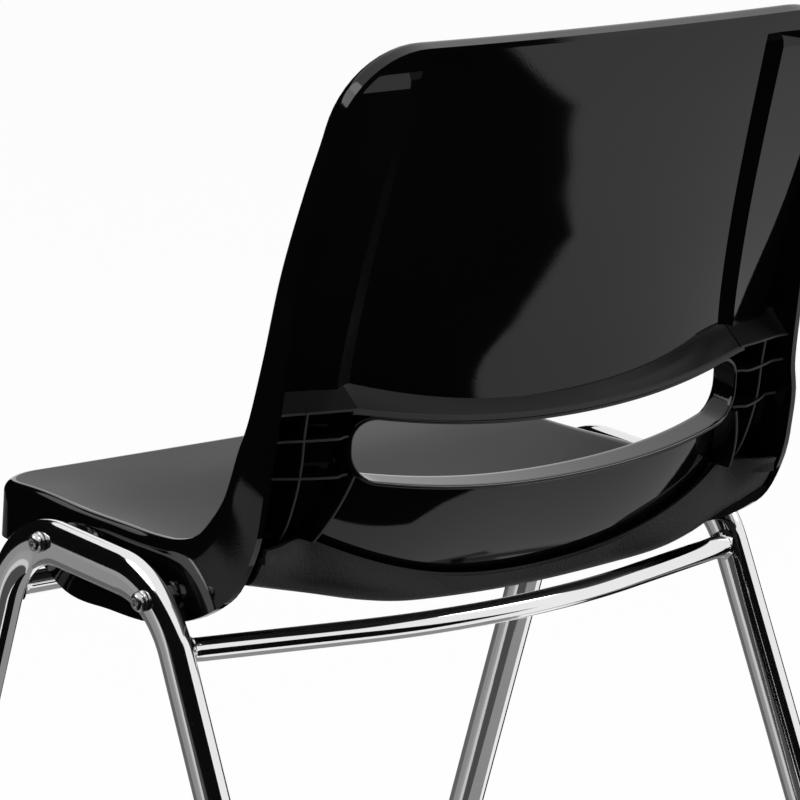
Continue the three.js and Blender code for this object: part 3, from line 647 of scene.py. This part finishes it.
# %% Collar
collar_rings = [slot_ring(grow, offset) for grow, offset in COLLAR_LIP]
collar_rings += [slot_ring(0.0, COLLAR_DEPTH * k / 6) for k in range(1, 6)]
for k in range(7):
    turn = math.pi * k / 6
    collar_rings.append(slot_ring(COLLAR_RIM - COLLAR_RIM * math.cos(turn),
                                  COLLAR_DEPTH - COLLAR_RIM + COLLAR_RIM * math.sin(turn)))
collar_rings += [slot_ring(COLLAR_WALL, 10.0), slot_ring(COLLAR_WALL, 2.0)]
collar_bm = bmesh.new()
first_ring = ring = row_of_edges(collar_bm, collar_rings[0])
for points in collar_rings[1:]:
    ring = extrude_row(collar_bm, ring, points)
bmesh.ops.bridge_loops(collar_bm, edges=row_edges(collar_bm, first_ring) + row_edges(collar_bm, ring))
tidy(collar_bm)
shell_piece("hand_hold_collar", collar_bm, [POLISHED])

# %% [markdown]
# A shelf runs across the panel above the slot, and thin ribs cross in the pockets beside it. They
# are all blades: a line on the panel, drawn out to the rear. Each blade is a loft of small
# sections, thinner at its free edge, where a real rib is tapered so that it leaves its mould.

# %% Blades behind the panel
SHELF_ROOT_RISE, SHELF_SHOULDER_RISE, SHELF_TIP_RISE = 11.0, 9.0, 7.0
SLOT_TOP = SLOT_MIDDLE + SLOT_HEIGHT / 2
RIB_WALL, RIB_DEPTH, RIB_FALL, RIB_LANDING, RIB_STEPS = 2.4, 27.0, 5.0, 10.0, 12
SHELF_WALL, SHELF_STEPS = 5.0, 64
EDGE_ROUNDING = 0.15


def shoulder(x):
    return min(abs(x) / SLOT_HALF, 1.0) ** 2


def shelf_root(x):
    return SLOT_TOP + SHELF_ROOT_RISE + (SLOT_SAG + SHELF_SHOULDER_RISE) * shoulder(x)


def shelf_tip(x):
    return SLOT_TOP + SHELF_TIP_RISE - COLLAR_DEPTH * math.tan(SLOT_TILT) + SLOT_SAG * shoulder(x)


def root_y(x, z):
    return clamped_panel_y(x, z) + WALL / 2 + max(abs(x) - edge_x(z), 0.0)


def blade(bm, line, wall, depth_at, fall_at, taper=0.7):
    """A blade along a line of X and Z, with a rounded and thinner free edge."""
    inset, round_off = (1 - taper) / 2, wall * 0.3
    rings = []
    for i, (x, z) in enumerate(line):
        before, after = Vector(line[max(i - 1, 0)]), Vector(line[min(i + 1, len(line) - 1)])
        ahead = (after - before).normalized()
        under = Vector((ahead.y, -ahead.x)) * wall
        root, tip, fall = root_y(x, z), clamped_panel_y(x, z) + depth_at(x), fall_at(x)
        corners = ((0.0, root, 0.0), (inset, tip - round_off, fall),
                   (inset + EDGE_ROUNDING, tip, fall), (1 - inset - EDGE_ROUNDING, tip, fall),
                   (1 - inset, tip - round_off, fall), (1.0, root, 0.0))
        rings.append([on_shell(x + under.x * share, y, z + under.y * share - drop)
                      for share, y, drop in corners])
    loft(bm, rings)
    # The free edge takes the second finish, a lighter black that paints a highlight along it.
    give_second_finish(bm, [point for ring in rings for point in ring[1:5]])


def across_line(start, end, height_at, steps):
    """Pairs of X and Z across the panel, from low X to high X."""
    places = [lerp(start, end, i / steps) for i in range(steps + 1)]
    return sorted((x, height_at(x)) for x in places)


# Shelf
def shelf_fall(x):
    return shelf_root(x) - shelf_tip(x)


shelf_bm = bmesh.new()
middle_end = SLOT_HALF + COLLAR_WALL
blade(shelf_bm, across_line(-middle_end, middle_end, shelf_root, SHELF_STEPS), SHELF_WALL,
      lambda x: COLLAR_DEPTH + (x / SLOT_HALF) ** 2, shelf_fall, 0.8)
shell_piece("hand_hold_shelf", shelf_bm, [DULL, HIGHLIGHT_EDGE])
shelf_end = edge_x(shelf_root(SLOT_HALF)) + RIB_LANDING
for name, side in SIDES:
    end_bm = bmesh.new()
    blade(end_bm, across_line(side * SLOT_HALF, side * shelf_end, shelf_root, RIB_STEPS),
          RIB_WALL, lambda x: COLLAR_DEPTH + 1, shelf_fall)
    shell_piece("shelf_end_" + name, end_bm, [DULL, HIGHLIGHT_EDGE])

# %% [markdown]
# A thicker band runs up the back beside each side edge, with a ramp along its inner side. It is
# lofted from sections placed up the panel, and fades away under the top edge.

# %% Side bands of the back
BAND_PLACE, BAND_TOP_PLACE, BAND_RAMP, BAND_RISE = 152.5, 139.0, 11.5, 6.0
BAND_START, BAND_FADE, BAND_END, BAND_STEPS = 108.0, 309.0, 317.0, 44
for name, side in SIDES:
    rings = []
    for i in range(BAND_STEPS + 1):
        z = lerp(BAND_START, BAND_END, i / BAND_STEPS)
        place = lerp(BAND_PLACE, BAND_TOP_PLACE, i / BAND_STEPS)
        ramp_end = place + BAND_RAMP
        end = half_width(solve(z, PANEL_FROM, 1.0, lambda s: side_curve(s).z))
        proud = WALL / 2 + BAND_RISE * (1.0 - smoothstep(z, BAND_FADE, BAND_END + 2.0))
        corners = ((place, 0.0), (place, WALL / 2), (ramp_end, proud),
                   (end, proud), (end, 0.0), (ramp_end, 0.0))
        rings.append([on_shell(side * x, root_y(x, z) + rise, z) for x, rise in corners])
    band_bm = bmesh.new()
    loft(band_bm, rings)
    # The ramp takes the second finish, darker and hardly reflecting: painted shade along the ramp.
    give_second_finish(band_bm, [point for ring in rings for point in ring[1:3]])
    shell_piece("back_band_" + name, band_bm, [POLISHED, PAINTED_SHADE_RAMP], 15.0)

# %% [markdown]
# Each pocket beside the slot has two cross ribs, an upright rib and one from the slot's corner.

# %% Pocket ribs
POCKET_TIP = shelf_tip(SLOT_HALF)
CROSS_RIBS = (("upper", 18.0), ("lower", 43.0))
STANDING_RIBS = (("upright", (189.2, 14.0), (189.2, POCKET_TIP)),
                 ("corner", (173.5, 13.0), (SLOT_HALF, SLOT_MIDDLE + SLOT_SAG - SLOT_HEIGHT / 2)))


def cross_rib_depth(x):
    """A cross rib runs out at full depth and drops under the collar's rim where it meets the collar."""
    return lerp(COLLAR_DEPTH - 2.0, RIB_DEPTH, smoothstep(abs(x), SLOT_HALF + 3.0, SLOT_HALF + 12.0))


def pocket_rib(name, line, depth_at, fall):
    bm = bmesh.new()
    blade(bm, line, RIB_WALL, depth_at, lambda x: fall)
    shell_piece(name, bm, [POLISHED, HIGHLIGHT_EDGE])


for name, side in SIDES:
    for place, drop in CROSS_RIBS:
        height = POCKET_TIP - drop + RIB_FALL
        line = across_line(side * (SLOT_HALF + 1.5), side * (edge_x(height) + RIB_LANDING),
                           lambda x: height, RIB_STEPS)
        pocket_rib(f"{place}_rib_{name}", line, cross_rib_depth, RIB_FALL)
    for place, foot, head in STANDING_RIBS:
        line = [(side * lerp(foot[0], head[0], i / 16), lerp(foot[1], head[1], i / 16))
                for i in range(17)]
        pocket_rib(f"{place}_rib_{name}", line, lambda x: RIB_DEPTH, 0.0)

# %% [markdown]
# Under the rear of the seat the moulding carries an apron with a coarse grain. Its upper edge is a
# ledge that follows a smile on the panel, and its lower edge rounds under the seat. It is lofted
# from sections placed across the chair, and then given its wall.

# %% Apron
APRON_EDGE_MIDDLE, APRON_EDGE_SAG, CORNER_RIB = -30.0, 45.0, 172.2
APRON_HALF, APRON_REACH, APRON_WALL, APRON_STEPS = 212.2, 60.0, 3.0, 90
APRON = [(0, 60, -42, 20, -48), (67, 62, -39, 20, -46.8), (110, 71, -31.5, 18, -42),
         (140, 69, -25.5, 15, -34.6), (172, 60, -19.5, 9, -20), (212.2, 51, -11.5, 6, -9)]
mirrored = [(-x, *rest) for x, *rest in reversed(APRON[1:])]
crest_curve = smooth_curve([Vector((x, y, z)) for x, y, z, _, _ in mirrored + APRON])
foot_curve = smooth_curve([Vector((x, y, z)) for x, _, _, y, z in mirrored + APRON])


def apron_edge(x):
    inside = min(abs(x), CORNER_RIB)
    z = APRON_EDGE_MIDDLE + APRON_EDGE_SAG * (inside / CORNER_RIB) ** 2
    away = smoothstep(abs(x), CORNER_RIB, APRON_HALF)
    return Vector((x, lerp(panel_y(inside, z) + WALL / 2, APRON_REACH, away), z))


def apron_section(across):
    """Points from the foot under the seat, round the crest, to the ledge on the panel."""
    foot, crest = foot_curve((across + 1) / 2), crest_curve((across + 1) / 2)
    edge = apron_edge(crest.x)
    away = min(abs(crest.x) / CORNER_RIB, 1.0)
    lip = 1.4 + 3.2 * away ** 2
    ledge = edge + Vector((0, 6.4 + lip, -0.6))
    body = smooth_curve([foot, crest, ledge])
    points = [body(k / 14) for k in range(14)]
    for forward, rise in ((0.3, 0.1), (lip, 0.2), (lip + 0.5, -0.5), (lip + 1.2, -7.0)):
        points.append(ledge + Vector((0, -forward, rise)))
    return points + [edge + Vector((0, 0, -7.6))]


apron_bm = bmesh.new()
sections = [[on_shell(*point) for point in apron_section(-1 + 2 * j / APRON_STEPS)]
            for j in range(APRON_STEPS + 1)]
row = row_of_edges(apron_bm, sections[0], closed=False)
for points in sections[1:]:
    row = extrude_row(apron_bm, row, points, closed=False)
bmesh.ops.recalc_face_normals(apron_bm, faces=apron_bm.faces[:])
middle_face = min(apron_bm.faces,
                  key=lambda f: abs(f.calc_center_median().x) - f.calc_center_median().y)
if middle_face.normal.y < 0:
    bmesh.ops.reverse_faces(apron_bm, faces=apron_bm.faces[:])
bmesh.ops.solidify(apron_bm, geom=apron_bm.faces[:], thickness=APRON_WALL * MM)
shell_piece("grained_apron", apron_bm, [GRAINED], 40.0)

# %% [markdown]
# The side frames are one length of flat-oval tube, bent twice. The section is a ring of points, drawn
# along each leg with extrude and round each bend with spin, as a tube bender does. The frame is drawn
# upright and then leaned out a little to its side.

# %% Side frame path
FRAME_HALF, FRAME_LEAN = 234.0, math.radians(0.76)
REAR_RAKE, FRONT_RAKE = math.radians(25.0), math.radians(21.0)
RAIL_RISE, RAIL_FALL, BEND_RADIUS, CROSSBAR_SPACING = 37.0, math.radians(2.4), 70.0, 202.0
TUBE_DEPTH, TUBE_WIDTH, OVAL_FULLNESS = 31.0, 16.0, 0.84
GLIDE_SOLE, BOOT_WALL, GLIDE_GRIP = 6.0, 2.1, 26.0
BEND_STEPS = 28


def cross2(a, b):
    return a.x * b.y - a.y * b.x


def crossing(a, toward_a, b, toward_b):
    return a + toward_a * (cross2(b - a, toward_b) / cross2(toward_a, toward_b))


rear_down = Vector((math.sin(REAR_RAKE), -math.cos(REAR_RAKE)))
front_down = Vector((-math.sin(FRONT_RAKE), -math.cos(FRONT_RAKE)))
rail_back = Vector((math.cos(RAIL_FALL), -math.sin(RAIL_FALL)))
rear_joint, front_joint = Vector((0, CROSSBAR_HEIGHT)), Vector((-CROSSBAR_SPACING, CROSSBAR_HEIGHT))
rail_point = Vector((0, CROSSBAR_HEIGHT + RAIL_RISE))
rail_rear = crossing(rear_joint, rear_down, rail_point, rail_back)
rail_front = crossing(front_joint, front_down, rail_point, rail_back)
rear_foot = rear_joint + rear_down * (CROSSBAR_HEIGHT / -rear_down.y)
front_foot = front_joint + front_down * (CROSSBAR_HEIGHT / -front_down.y)
LEG_END_UP = GLIDE_SOLE + TUBE_DEPTH / 2 * math.tan(max(REAR_RAKE, FRONT_RAKE))


def bend_at(corner, before, after):
    """Centre, start arm and turn of the bend at a corner of the frame's path."""
    to_before, to_after = (before - corner).normalized(), (after - corner).normalized()
    half = math.acos(to_before.dot(to_after)) / 2
    centre = corner + (to_before + to_after).normalized() * (BEND_RADIUS / math.sin(half))
    start = corner + to_before * (BEND_RADIUS / math.tan(half)) - centre
    end = corner + to_after * (BEND_RADIUS / math.tan(half)) - centre
    return centre, start, end, math.atan2(cross2(start, end), start.dot(end))


front_bend = bend_at(rail_front, front_foot, rail_rear)
rear_bend = bend_at(rail_rear, rail_front, rear_foot)


def oval_ring(point, across, grow, sides=48):
    """The tube's flat-oval outline at a place on the path, before the lean."""
    ring = []
    for i in range(sides):
        c, s = math.cos(2 * math.pi * i / sides), math.sin(2 * math.pi * i / sides)
        out = math.copysign(abs(c) ** OVAL_FULLNESS, c) * (TUBE_WIDTH / 2 + grow)
        along = math.copysign(abs(s) ** OVAL_FULLNESS, s) * (TUBE_DEPTH / 2 + grow)
        ring.append(Vector((out, point.x + across.x * along, point.y + across.y * along)))
    return ring


def lean(side):
    """Leans what is drawn in the plane X = 0 out to its side, and moves it to its place in metres."""
    return (Matrix.Translation(at(side * FRAME_HALF, 0, CROSSBAR_HEIGHT))
            @ Matrix.Diagonal((MM, MM, MM, 1.0))
            @ Matrix.Rotation(side * -FRAME_LEAN, 4, "Y")
            @ Matrix.Translation((0, 0, -CROSSBAR_HEIGHT)))


def side_frame(side):
    bm = bmesh.new()
    start = front_foot - front_down * LEG_END_UP
    front_arm = front_bend[1].normalized()
    verts = row_of_edges(bm, oval_ring(start, front_arm, 0.0))
    bm.faces.new(verts)
    here = front_bend[0] + front_bend[1]
    verts = extrude_row(bm, verts, oval_ring(here, front_arm, 0.0))
    for centre, arm, end, turn in (front_bend, rear_bend):
        verts = extrude_row(bm, verts, oval_ring(centre + arm, arm.normalized(), 0.0))
        turned = bmesh.ops.spin(bm, geom=row_edges(bm, verts), cent=(0, centre.x, centre.y),
                                axis=(1, 0, 0), angle=turn, steps=BEND_STEPS, use_duplicate=False)
        last = {v for v in turned["geom_last"] if isinstance(v, bmesh.types.BMVert)}
        target = oval_ring(centre + end, end.normalized(), 0.0)
        verts = [min(last, key=lambda v: (v.co - point).length) for point in target]
    stop = rear_foot - rear_down * LEG_END_UP
    verts = extrude_row(bm, verts, oval_ring(stop, rear_bend[2].normalized(), 0.0))
    bm.faces.new(verts)
    tidy(bm, 1e-4)
    bmesh.ops.transform(bm, matrix=lean(side), verts=bm.verts[:])
    return bm


for name, side in SIDES:
    make_piece("oval_tube_" + name, side_frame(side), [CHROME],
               ["side_frame_" + name], 50.0)

# %% [markdown]
# The crossbars are round tubes welded between the side frames. The rear one bows to the rear in its
# middle. A weld bead runs round each end: a small ring swept round the bar and roughened with
# noise, because a real bead is laid in overlapping drops.

# %% Crossbars
BAR_RADIUS, BAR_BOW, BAR_STEPS = 8.0, 45.0, 96
WELD, WELD_STEPS, WELD_ROUGHNESS = 3.0, 6, 1.6
BAR_END = FRAME_HALF - TUBE_WIDTH / 2 - 0.3


def rear_bar_y(x):
    straight = FRAME_HALF / 2
    slope = BAR_BOW / (FRAME_HALF - straight / 2)
    if abs(x) > straight:
        return (FRAME_HALF - abs(x)) * slope
    return BAR_BOW - x * x * slope / (2 * straight)


def bar_ring(y_at, x, radius, sides=40, rough=0.0):
    ahead = Vector((2.0, y_at(x + 1) - y_at(x - 1))).normalized()
    ring = []
    for i in range(sides):
        a = 2 * math.pi * i / sides
        r = radius
        if rough:
            r += rough * noise.noise(Vector((x, 3 * math.cos(a), 3 * math.sin(a))))
        ring.append(at(x - ahead.y * r * math.cos(a), y_at(x) + ahead.x * r * math.cos(a),
                       CROSSBAR_HEIGHT + r * math.sin(a)))
    return ring


def crossbar(y_at):
    bm = bmesh.new()
    places = [(-BAR_END + WELD * k / WELD_STEPS, WELD * (1 - math.sin(math.pi / 2 * k / WELD_STEPS)))
              for k in range(WELD_STEPS)]
    rings = [bar_ring(y_at, x, BAR_RADIUS + grow, rough=WELD_ROUGHNESS) for x, grow in places]
    for k in range(BAR_STEPS + 1):
        rings.append(bar_ring(y_at, lerp(-BAR_END + WELD, BAR_END - WELD, k / BAR_STEPS), BAR_RADIUS))
    rings += [bar_ring(y_at, -x, BAR_RADIUS + grow, rough=WELD_ROUGHNESS)
              for x, grow in reversed(places)]
    loft(bm, rings)
    return bm


make_piece("bowed_rear_bar", crossbar(rear_bar_y), [CHROME], ["rear_crossbar"], 50.0)
make_piece("front_bar", crossbar(lambda x: -CROSSBAR_SPACING), [CHROME],
           ["front_crossbar"], 50.0)

# %% [markdown]
# Each screw head is a low dome with a hexagon socket, over a flat washer. Both are turned parts, so
# their profile is spun round the screw's axis. The socket's ring of points is moved onto a hexagon
# before it is pushed in.

# %% Fasteners
SEAT_GAP, WASHER_HEIGHT, SPACER_LENGTH = 0.2, 2.2, 4.4
REAR_SCREW_TURN = 0.47
HEAD_START = TUBE_WIDTH / 2 + SEAT_GAP + WASHER_HEIGHT + SEAT_GAP
HEAD_HEIGHT, HEAD_RADIUS, HEAD_FLAT, SOCKET_HALF = 4.2, 6.2, 2.6, 1.95
rear_arm = rear_bend[1].copy()
rear_arm.rotate(Matrix.Rotation(rear_bend[3] * REAR_SCREW_TURN, 2))
over_front_screw = Vector((-FRONT_SCREW_SETBACK, 0))
SCREWS = {"front": crossing(over_front_screw, Vector((0, 1)), rail_front, rail_back),
          "rear": rear_bend[0] + rear_arm}


def turned_rings(profile, sides=48):
    """Rings round the X axis from a profile of (place along X, radius)."""
    return [[Vector((x, r * math.cos(2 * math.pi * i / sides), r * math.sin(2 * math.pi * i / sides)))
             for i in range(sides)] for x, r in profile]


def screw_head():
    profile = [(HEAD_START, 3.4), (HEAD_START, HEAD_RADIUS - 0.4), (HEAD_START + 0.3, HEAD_RADIUS)]
    profile += [(HEAD_START + 1.0 + (HEAD_HEIGHT - 1.0) * math.sin(math.pi / 2 * k / 8),
                 HEAD_FLAT + (HEAD_RADIUS - HEAD_FLAT) * math.cos(math.pi / 2 * k / 8))
                for k in range(9)]
    rings = turned_rings(profile)
    sides = len(rings[0])
    for drop, flat in ((0.1, SOCKET_HALF + 0.05), (0.5, SOCKET_HALF), (2.2, SOCKET_HALF)):
        socket = []
        for i in range(sides):
            a = 2 * math.pi * i / sides
            reach = flat / math.cos((a + math.pi / 6) % (math.pi / 3) - math.pi / 6)
            socket.append(Vector((HEAD_START + HEAD_HEIGHT - drop,
                                  reach * math.cos(a), reach * math.sin(a))))
        rings.append(socket)
    return rings


def washer():
    inner = TUBE_WIDTH / 2 + SEAT_GAP
    outer = inner + WASHER_HEIGHT
    return turned_rings([(inner, 3.5), (inner, 6.7), (inner + 0.3, 7.0), (outer - 0.5, 7.0),
                         (outer, 6.5), (outer, 3.5)])


def on_frame(rings, place, side):
    """A turned part, set at its place on the side frame."""
    bm = bmesh.new()
    loft(bm, rings)
    if side < 0:
        bmesh.ops.scale(bm, vec=(-1, 1, 1), verts=bm.verts[:])
    bmesh.ops.translate(bm, vec=(0, place.x, place.y), verts=bm.verts[:])
    bmesh.ops.transform(bm, matrix=lean(side), verts=bm.verts[:])
    bmesh.ops.recalc_face_normals(bm, faces=bm.faces[:])
    return bm


for place_name, place in SCREWS.items():
    for side_name, side in SIDES:
        for kind, rings_of in (("screw", screw_head), ("washer", washer)):
            make_piece(f"{kind}_dress_{place_name}_{side_name}", on_frame(rings_of(), place, side),
                       [ZINC], [f"{kind}_{place_name}_{side_name}"], 40.0)

# %% [markdown]
# Moulded bosses hold the screws: short round pillars that grow out of the inside of the shell's
# sides. The sleeves and threaded inserts behind them stay as packed and only take their finish.

# %% Bosses and what stays as packed
BOSS_FACE = -(TUBE_WIDTH / 2 + SEAT_GAP + SPACER_LENGTH + SEAT_GAP)
BOSS_PROFILE = [(BOSS_FACE - 24, 10.0), (BOSS_FACE - 0.8, 10.0), (BOSS_FACE, 9.2),
                (BOSS_FACE, 4.8), (BOSS_FACE - 2, 4.7)]
for place_name, place in SCREWS.items():
    for side_name, side in SIDES:
        shell_piece(f"boss_{place_name}_{side_name}",
                    on_frame(turned_rings(BOSS_PROFILE), place, side), [POLISHED], 40.0)
for node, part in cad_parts.items():
    finish = {"spacer": ZINC, "insert": BRASS}.get(node.split("_")[0])
    if finish is not None:
        part.data.materials.clear()
        part.data.materials.append(finish)

# %% [markdown]
# The foot of each leg is a moulded boot. It follows the tube's oval, has a soft upper lip, and is cut
# flat where it meets the floor.

# %% Glides
SOLE_LIFT = 0.0001


def glide(side, foot, down, arm):
    bm = bmesh.new()
    top = LEG_END_UP + GLIDE_GRIP
    spans = [(-12.0, BOOT_WALL), (top - 1.2, BOOT_WALL), (top - 0.3, BOOT_WALL - 0.5),
             (top, BOOT_WALL - 1.1), (top, 0.25), (top - 2.0, 0.2)]
    loft(bm, [oval_ring(foot - down * up, arm.normalized(), grow) for up, grow in spans])
    bmesh.ops.transform(bm, matrix=lean(side), verts=bm.verts[:])
    cut = bmesh.ops.bisect_plane(bm, geom=bm.verts[:] + bm.edges[:] + bm.faces[:], dist=1e-7,
                                 plane_co=(0, 0, SOLE_LIFT), plane_no=(0, 0, 1), clear_inner=True)
    rim = [e for e in cut["geom_cut"] if isinstance(e, bmesh.types.BMEdge)]
    bmesh.ops.contextual_create(bm, geom=rim)
    bmesh.ops.recalc_face_normals(bm, faces=bm.faces[:])
    return bm


for side_name, side in SIDES:
    for place_name, foot, down, arm in (("front", front_foot, front_down, front_bend[1]),
                                        ("rear", rear_foot, rear_down, rear_bend[2])):
        make_piece(f"boot_{place_name}_{side_name}", glide(side, foot, down, arm), [RUBBER],
                   [f"glide_{place_name}_{side_name}"], 40.0)

# %% [markdown]
# The studio is a white floor in a white world. The polished back is a dark mirror, and what it
# mirrors is painted with sheets that only reflections see: dark and grey parts of a far room and a
# dark part of the floor glow at set levels as painted reflections, and a grey patch under the
# chair is a painted shadow of the chair. Reflections don't see the white floor, and the white world
# stands in its place.


# %% Studio surfaces
def any_ray(nodes, links, *kinds):
    """One where a ray is of any of the kinds, and zero elsewhere."""
    path = nodes.new("ShaderNodeLightPath")
    found = path.outputs[kinds[0]]
    for kind in kinds[1:]:
        either = nodes.new("ShaderNodeMath")
        either.operation = "MAXIMUM"
        links.new(found, either.inputs[0])
        links.new(path.outputs[kind], either.inputs[1])
        found = either.outputs[0]
    return found


def stage_material(name, colour, seen):
    """A stage surface: lit like paint, and plainly bright where the camera or a mirror sees it."""
    material = bpy.data.materials.new(name)
    material.use_nodes = True
    nodes, links = material.node_tree.nodes, material.node_tree.links
    nodes.clear()
    out = nodes.new("ShaderNodeOutputMaterial")
    paint = nodes.new("ShaderNodeBsdfDiffuse")
    glow = nodes.new("ShaderNodeEmission")
    for shader in (paint, glow):
        shader.inputs["Color"].default_value = (colour, colour, colour, 1.0)
    glow.inputs["Strength"].default_value = 1.0
    share = nodes.new("ShaderNodeMath")
    share.operation = "MULTIPLY"
    share.inputs[1].default_value = seen
    links.new(any_ray(nodes, links, "Is Camera Ray", "Is Glossy Ray"), share.inputs[0])
    mix = nodes.new("ShaderNodeMixShader")
    links.new(share.outputs[0], mix.inputs["Fac"])
    links.new(paint.outputs[0], mix.inputs[1])
    links.new(glow.outputs[0], mix.inputs[2])
    links.new(mix.outputs[0], out.inputs["Surface"])
    return material


def stage_object(name, bm, material, only_mirrored=True):
    """One surface of the stage. All but the floor are seen in reflections alone."""
    sheet = new_object(name, bm, [material])
    if only_mirrored:
        sheet.visible_camera = sheet.visible_diffuse = False
        sheet.visible_shadow = sheet.visible_transmission = False
    return sheet


def flat_sheet(name, outline, height, material, only_mirrored=True):
    bm = bmesh.new()
    bm.faces.new([bm.verts.new((x, y, height)) for x, y in outline])
    return stage_object(name, bm, material, only_mirrored)


def square(half):
    return [(-half, -half), (half, -half), (half, half), (-half, half)]


floor = flat_sheet("floor", square(9.0), 0.0, stage_material("white_floor", 1.0, 0.94), False)
floor.visible_glossy = False

# %% [markdown]
# Places in the far room are a turn in degrees from +Y towards +X, and a rise in degrees from level.

# %% The mirrored room
ROOM_RADIUS, ROOM_HEIGHT, ROOM_ROWS, CARD_LIFT = 20.0, 0.6, 12, 0.004
DARK_STAGE = stage_material("dark_room", 0.004, 1.0)
SHADE_STAGE = stage_material("floor_shade", 0.3, 1.0)
GREY_SIDES = ((106.0, 136.0, 0.08), (136.0, 141.5, 0.7), (141.5, 146.0, 0.36),
              (146.0, 158.0, 0.3), (158.0, 204.0, 0.14))
DARK_FLOOR = [(0.3, 0.56), (-0.15, 0.56), (-0.3, 0.68), (-0.79, 0.93), (-0.86, 1.02), (-0.82, 1.2),
              (-0.82, 1.35), (-0.91, 1.78), (-1.5, 4.6), (4.6, 4.6), (4.6, -0.2), (0.3, -0.2)]


def room_point(turn, rise):
    a, b = math.radians(turn), math.radians(rise)
    far = Vector((math.sin(a) * math.cos(b), math.cos(a) * math.cos(b), math.sin(b))) * ROOM_RADIUS
    return far + Vector((0, 0, ROOM_HEIGHT))


def room_sheet(name, first, last, low_at, top_at, material, strips):
    """A part of the far room, between two rises that depend on the turn."""
    bm = bmesh.new()
    columns = []
    for k in range(strips + 1):
        turn = lerp(first, last, k / strips)
        low, top = low_at(turn), top_at(turn)
        columns.append([bm.verts.new(room_point(turn, lerp(low, top, m / ROOM_ROWS)))
                        for m in range(ROOM_ROWS + 1)])
    for here, ahead in zip(columns, columns[1:]):
        for m in range(ROOM_ROWS):
            bm.faces.new((here[m], ahead[m], ahead[m + 1], here[m + 1]))
    stage_object(name, bm, material)


# Dark and grey sheets that glow for reflections only: painted reflections on the polished back.
room_sheet("dark_room", -22.0, 204.0, lambda turn: -8.0 if turn < 110.0 else -11.0,
           lambda turn: min(-16.0 + 0.94 * (turn + 31.0), 32.0), DARK_STAGE, 80)
room_sheet("dark_corner", -128.0, -82.0, lambda turn: -45.0, lambda turn: 6.0, DARK_STAGE, 20)
for k, (first, last, grey) in enumerate(GREY_SIDES, 1):
    name = f"grey_side_{k}"
    room_sheet(name, first, last, lambda turn: -70.0, lambda turn: -11.0,
               stage_material(name, grey, 1.0), 16)
flat_sheet("dark_floor", DARK_FLOOR, CARD_LIFT, DARK_STAGE)
# A grey patch under the chair, seen only in reflections: a painted shadow of the chair.
flat_sheet("floor_shade", square(0.3), CARD_LIFT, SHADE_STAGE)

# %% [markdown]
# The world is pure white to the camera and in reflections, and dimmer as a light, so that the black
# plastic stays deep. Two soft lamps shape the round parts.

# %% World, lamps and view
world = bpy.data.worlds.new("studio")
bpy.context.scene.world = world
world.use_nodes = True
w_nodes, w_links = world.node_tree.nodes, world.node_tree.links
backdrop = w_nodes["Background"]
backdrop.inputs["Color"].default_value = (1, 1, 1, 1)
level = w_nodes.new("ShaderNodeMapRange")
level.inputs["To Min"].default_value = 0.55
level.inputs["To Max"].default_value = 1.0
seen = any_ray(w_nodes, w_links, "Is Camera Ray", "Is Glossy Ray", "Is Transmission Ray")
w_links.new(seen, level.inputs["Value"])
w_links.new(level.outputs["Result"], backdrop.inputs["Strength"])


def soft_lamp(name, place, toward, size, power):
    data = bpy.data.lights.new(name, "AREA")
    data.shape = "DISK"
    data.size = size
    data.energy = power
    lamp = bpy.data.objects.new(name, data)
    bpy.context.collection.objects.link(lamp)
    lamp.location = place
    lamp.rotation_euler = (Vector(toward) - Vector(place)).to_track_quat("-Z", "Y").to_euler()


soft_lamp("key", (-1.6, 1.2, 2.6), (0, 0, 0.5), 1.4, 28)
soft_lamp("fill", (2.2, -1.4, 2.2), (0, 0, 0.5), 1.6, 18)
bpy.context.scene.view_settings.view_transform = "Standard"
print("stage ready")
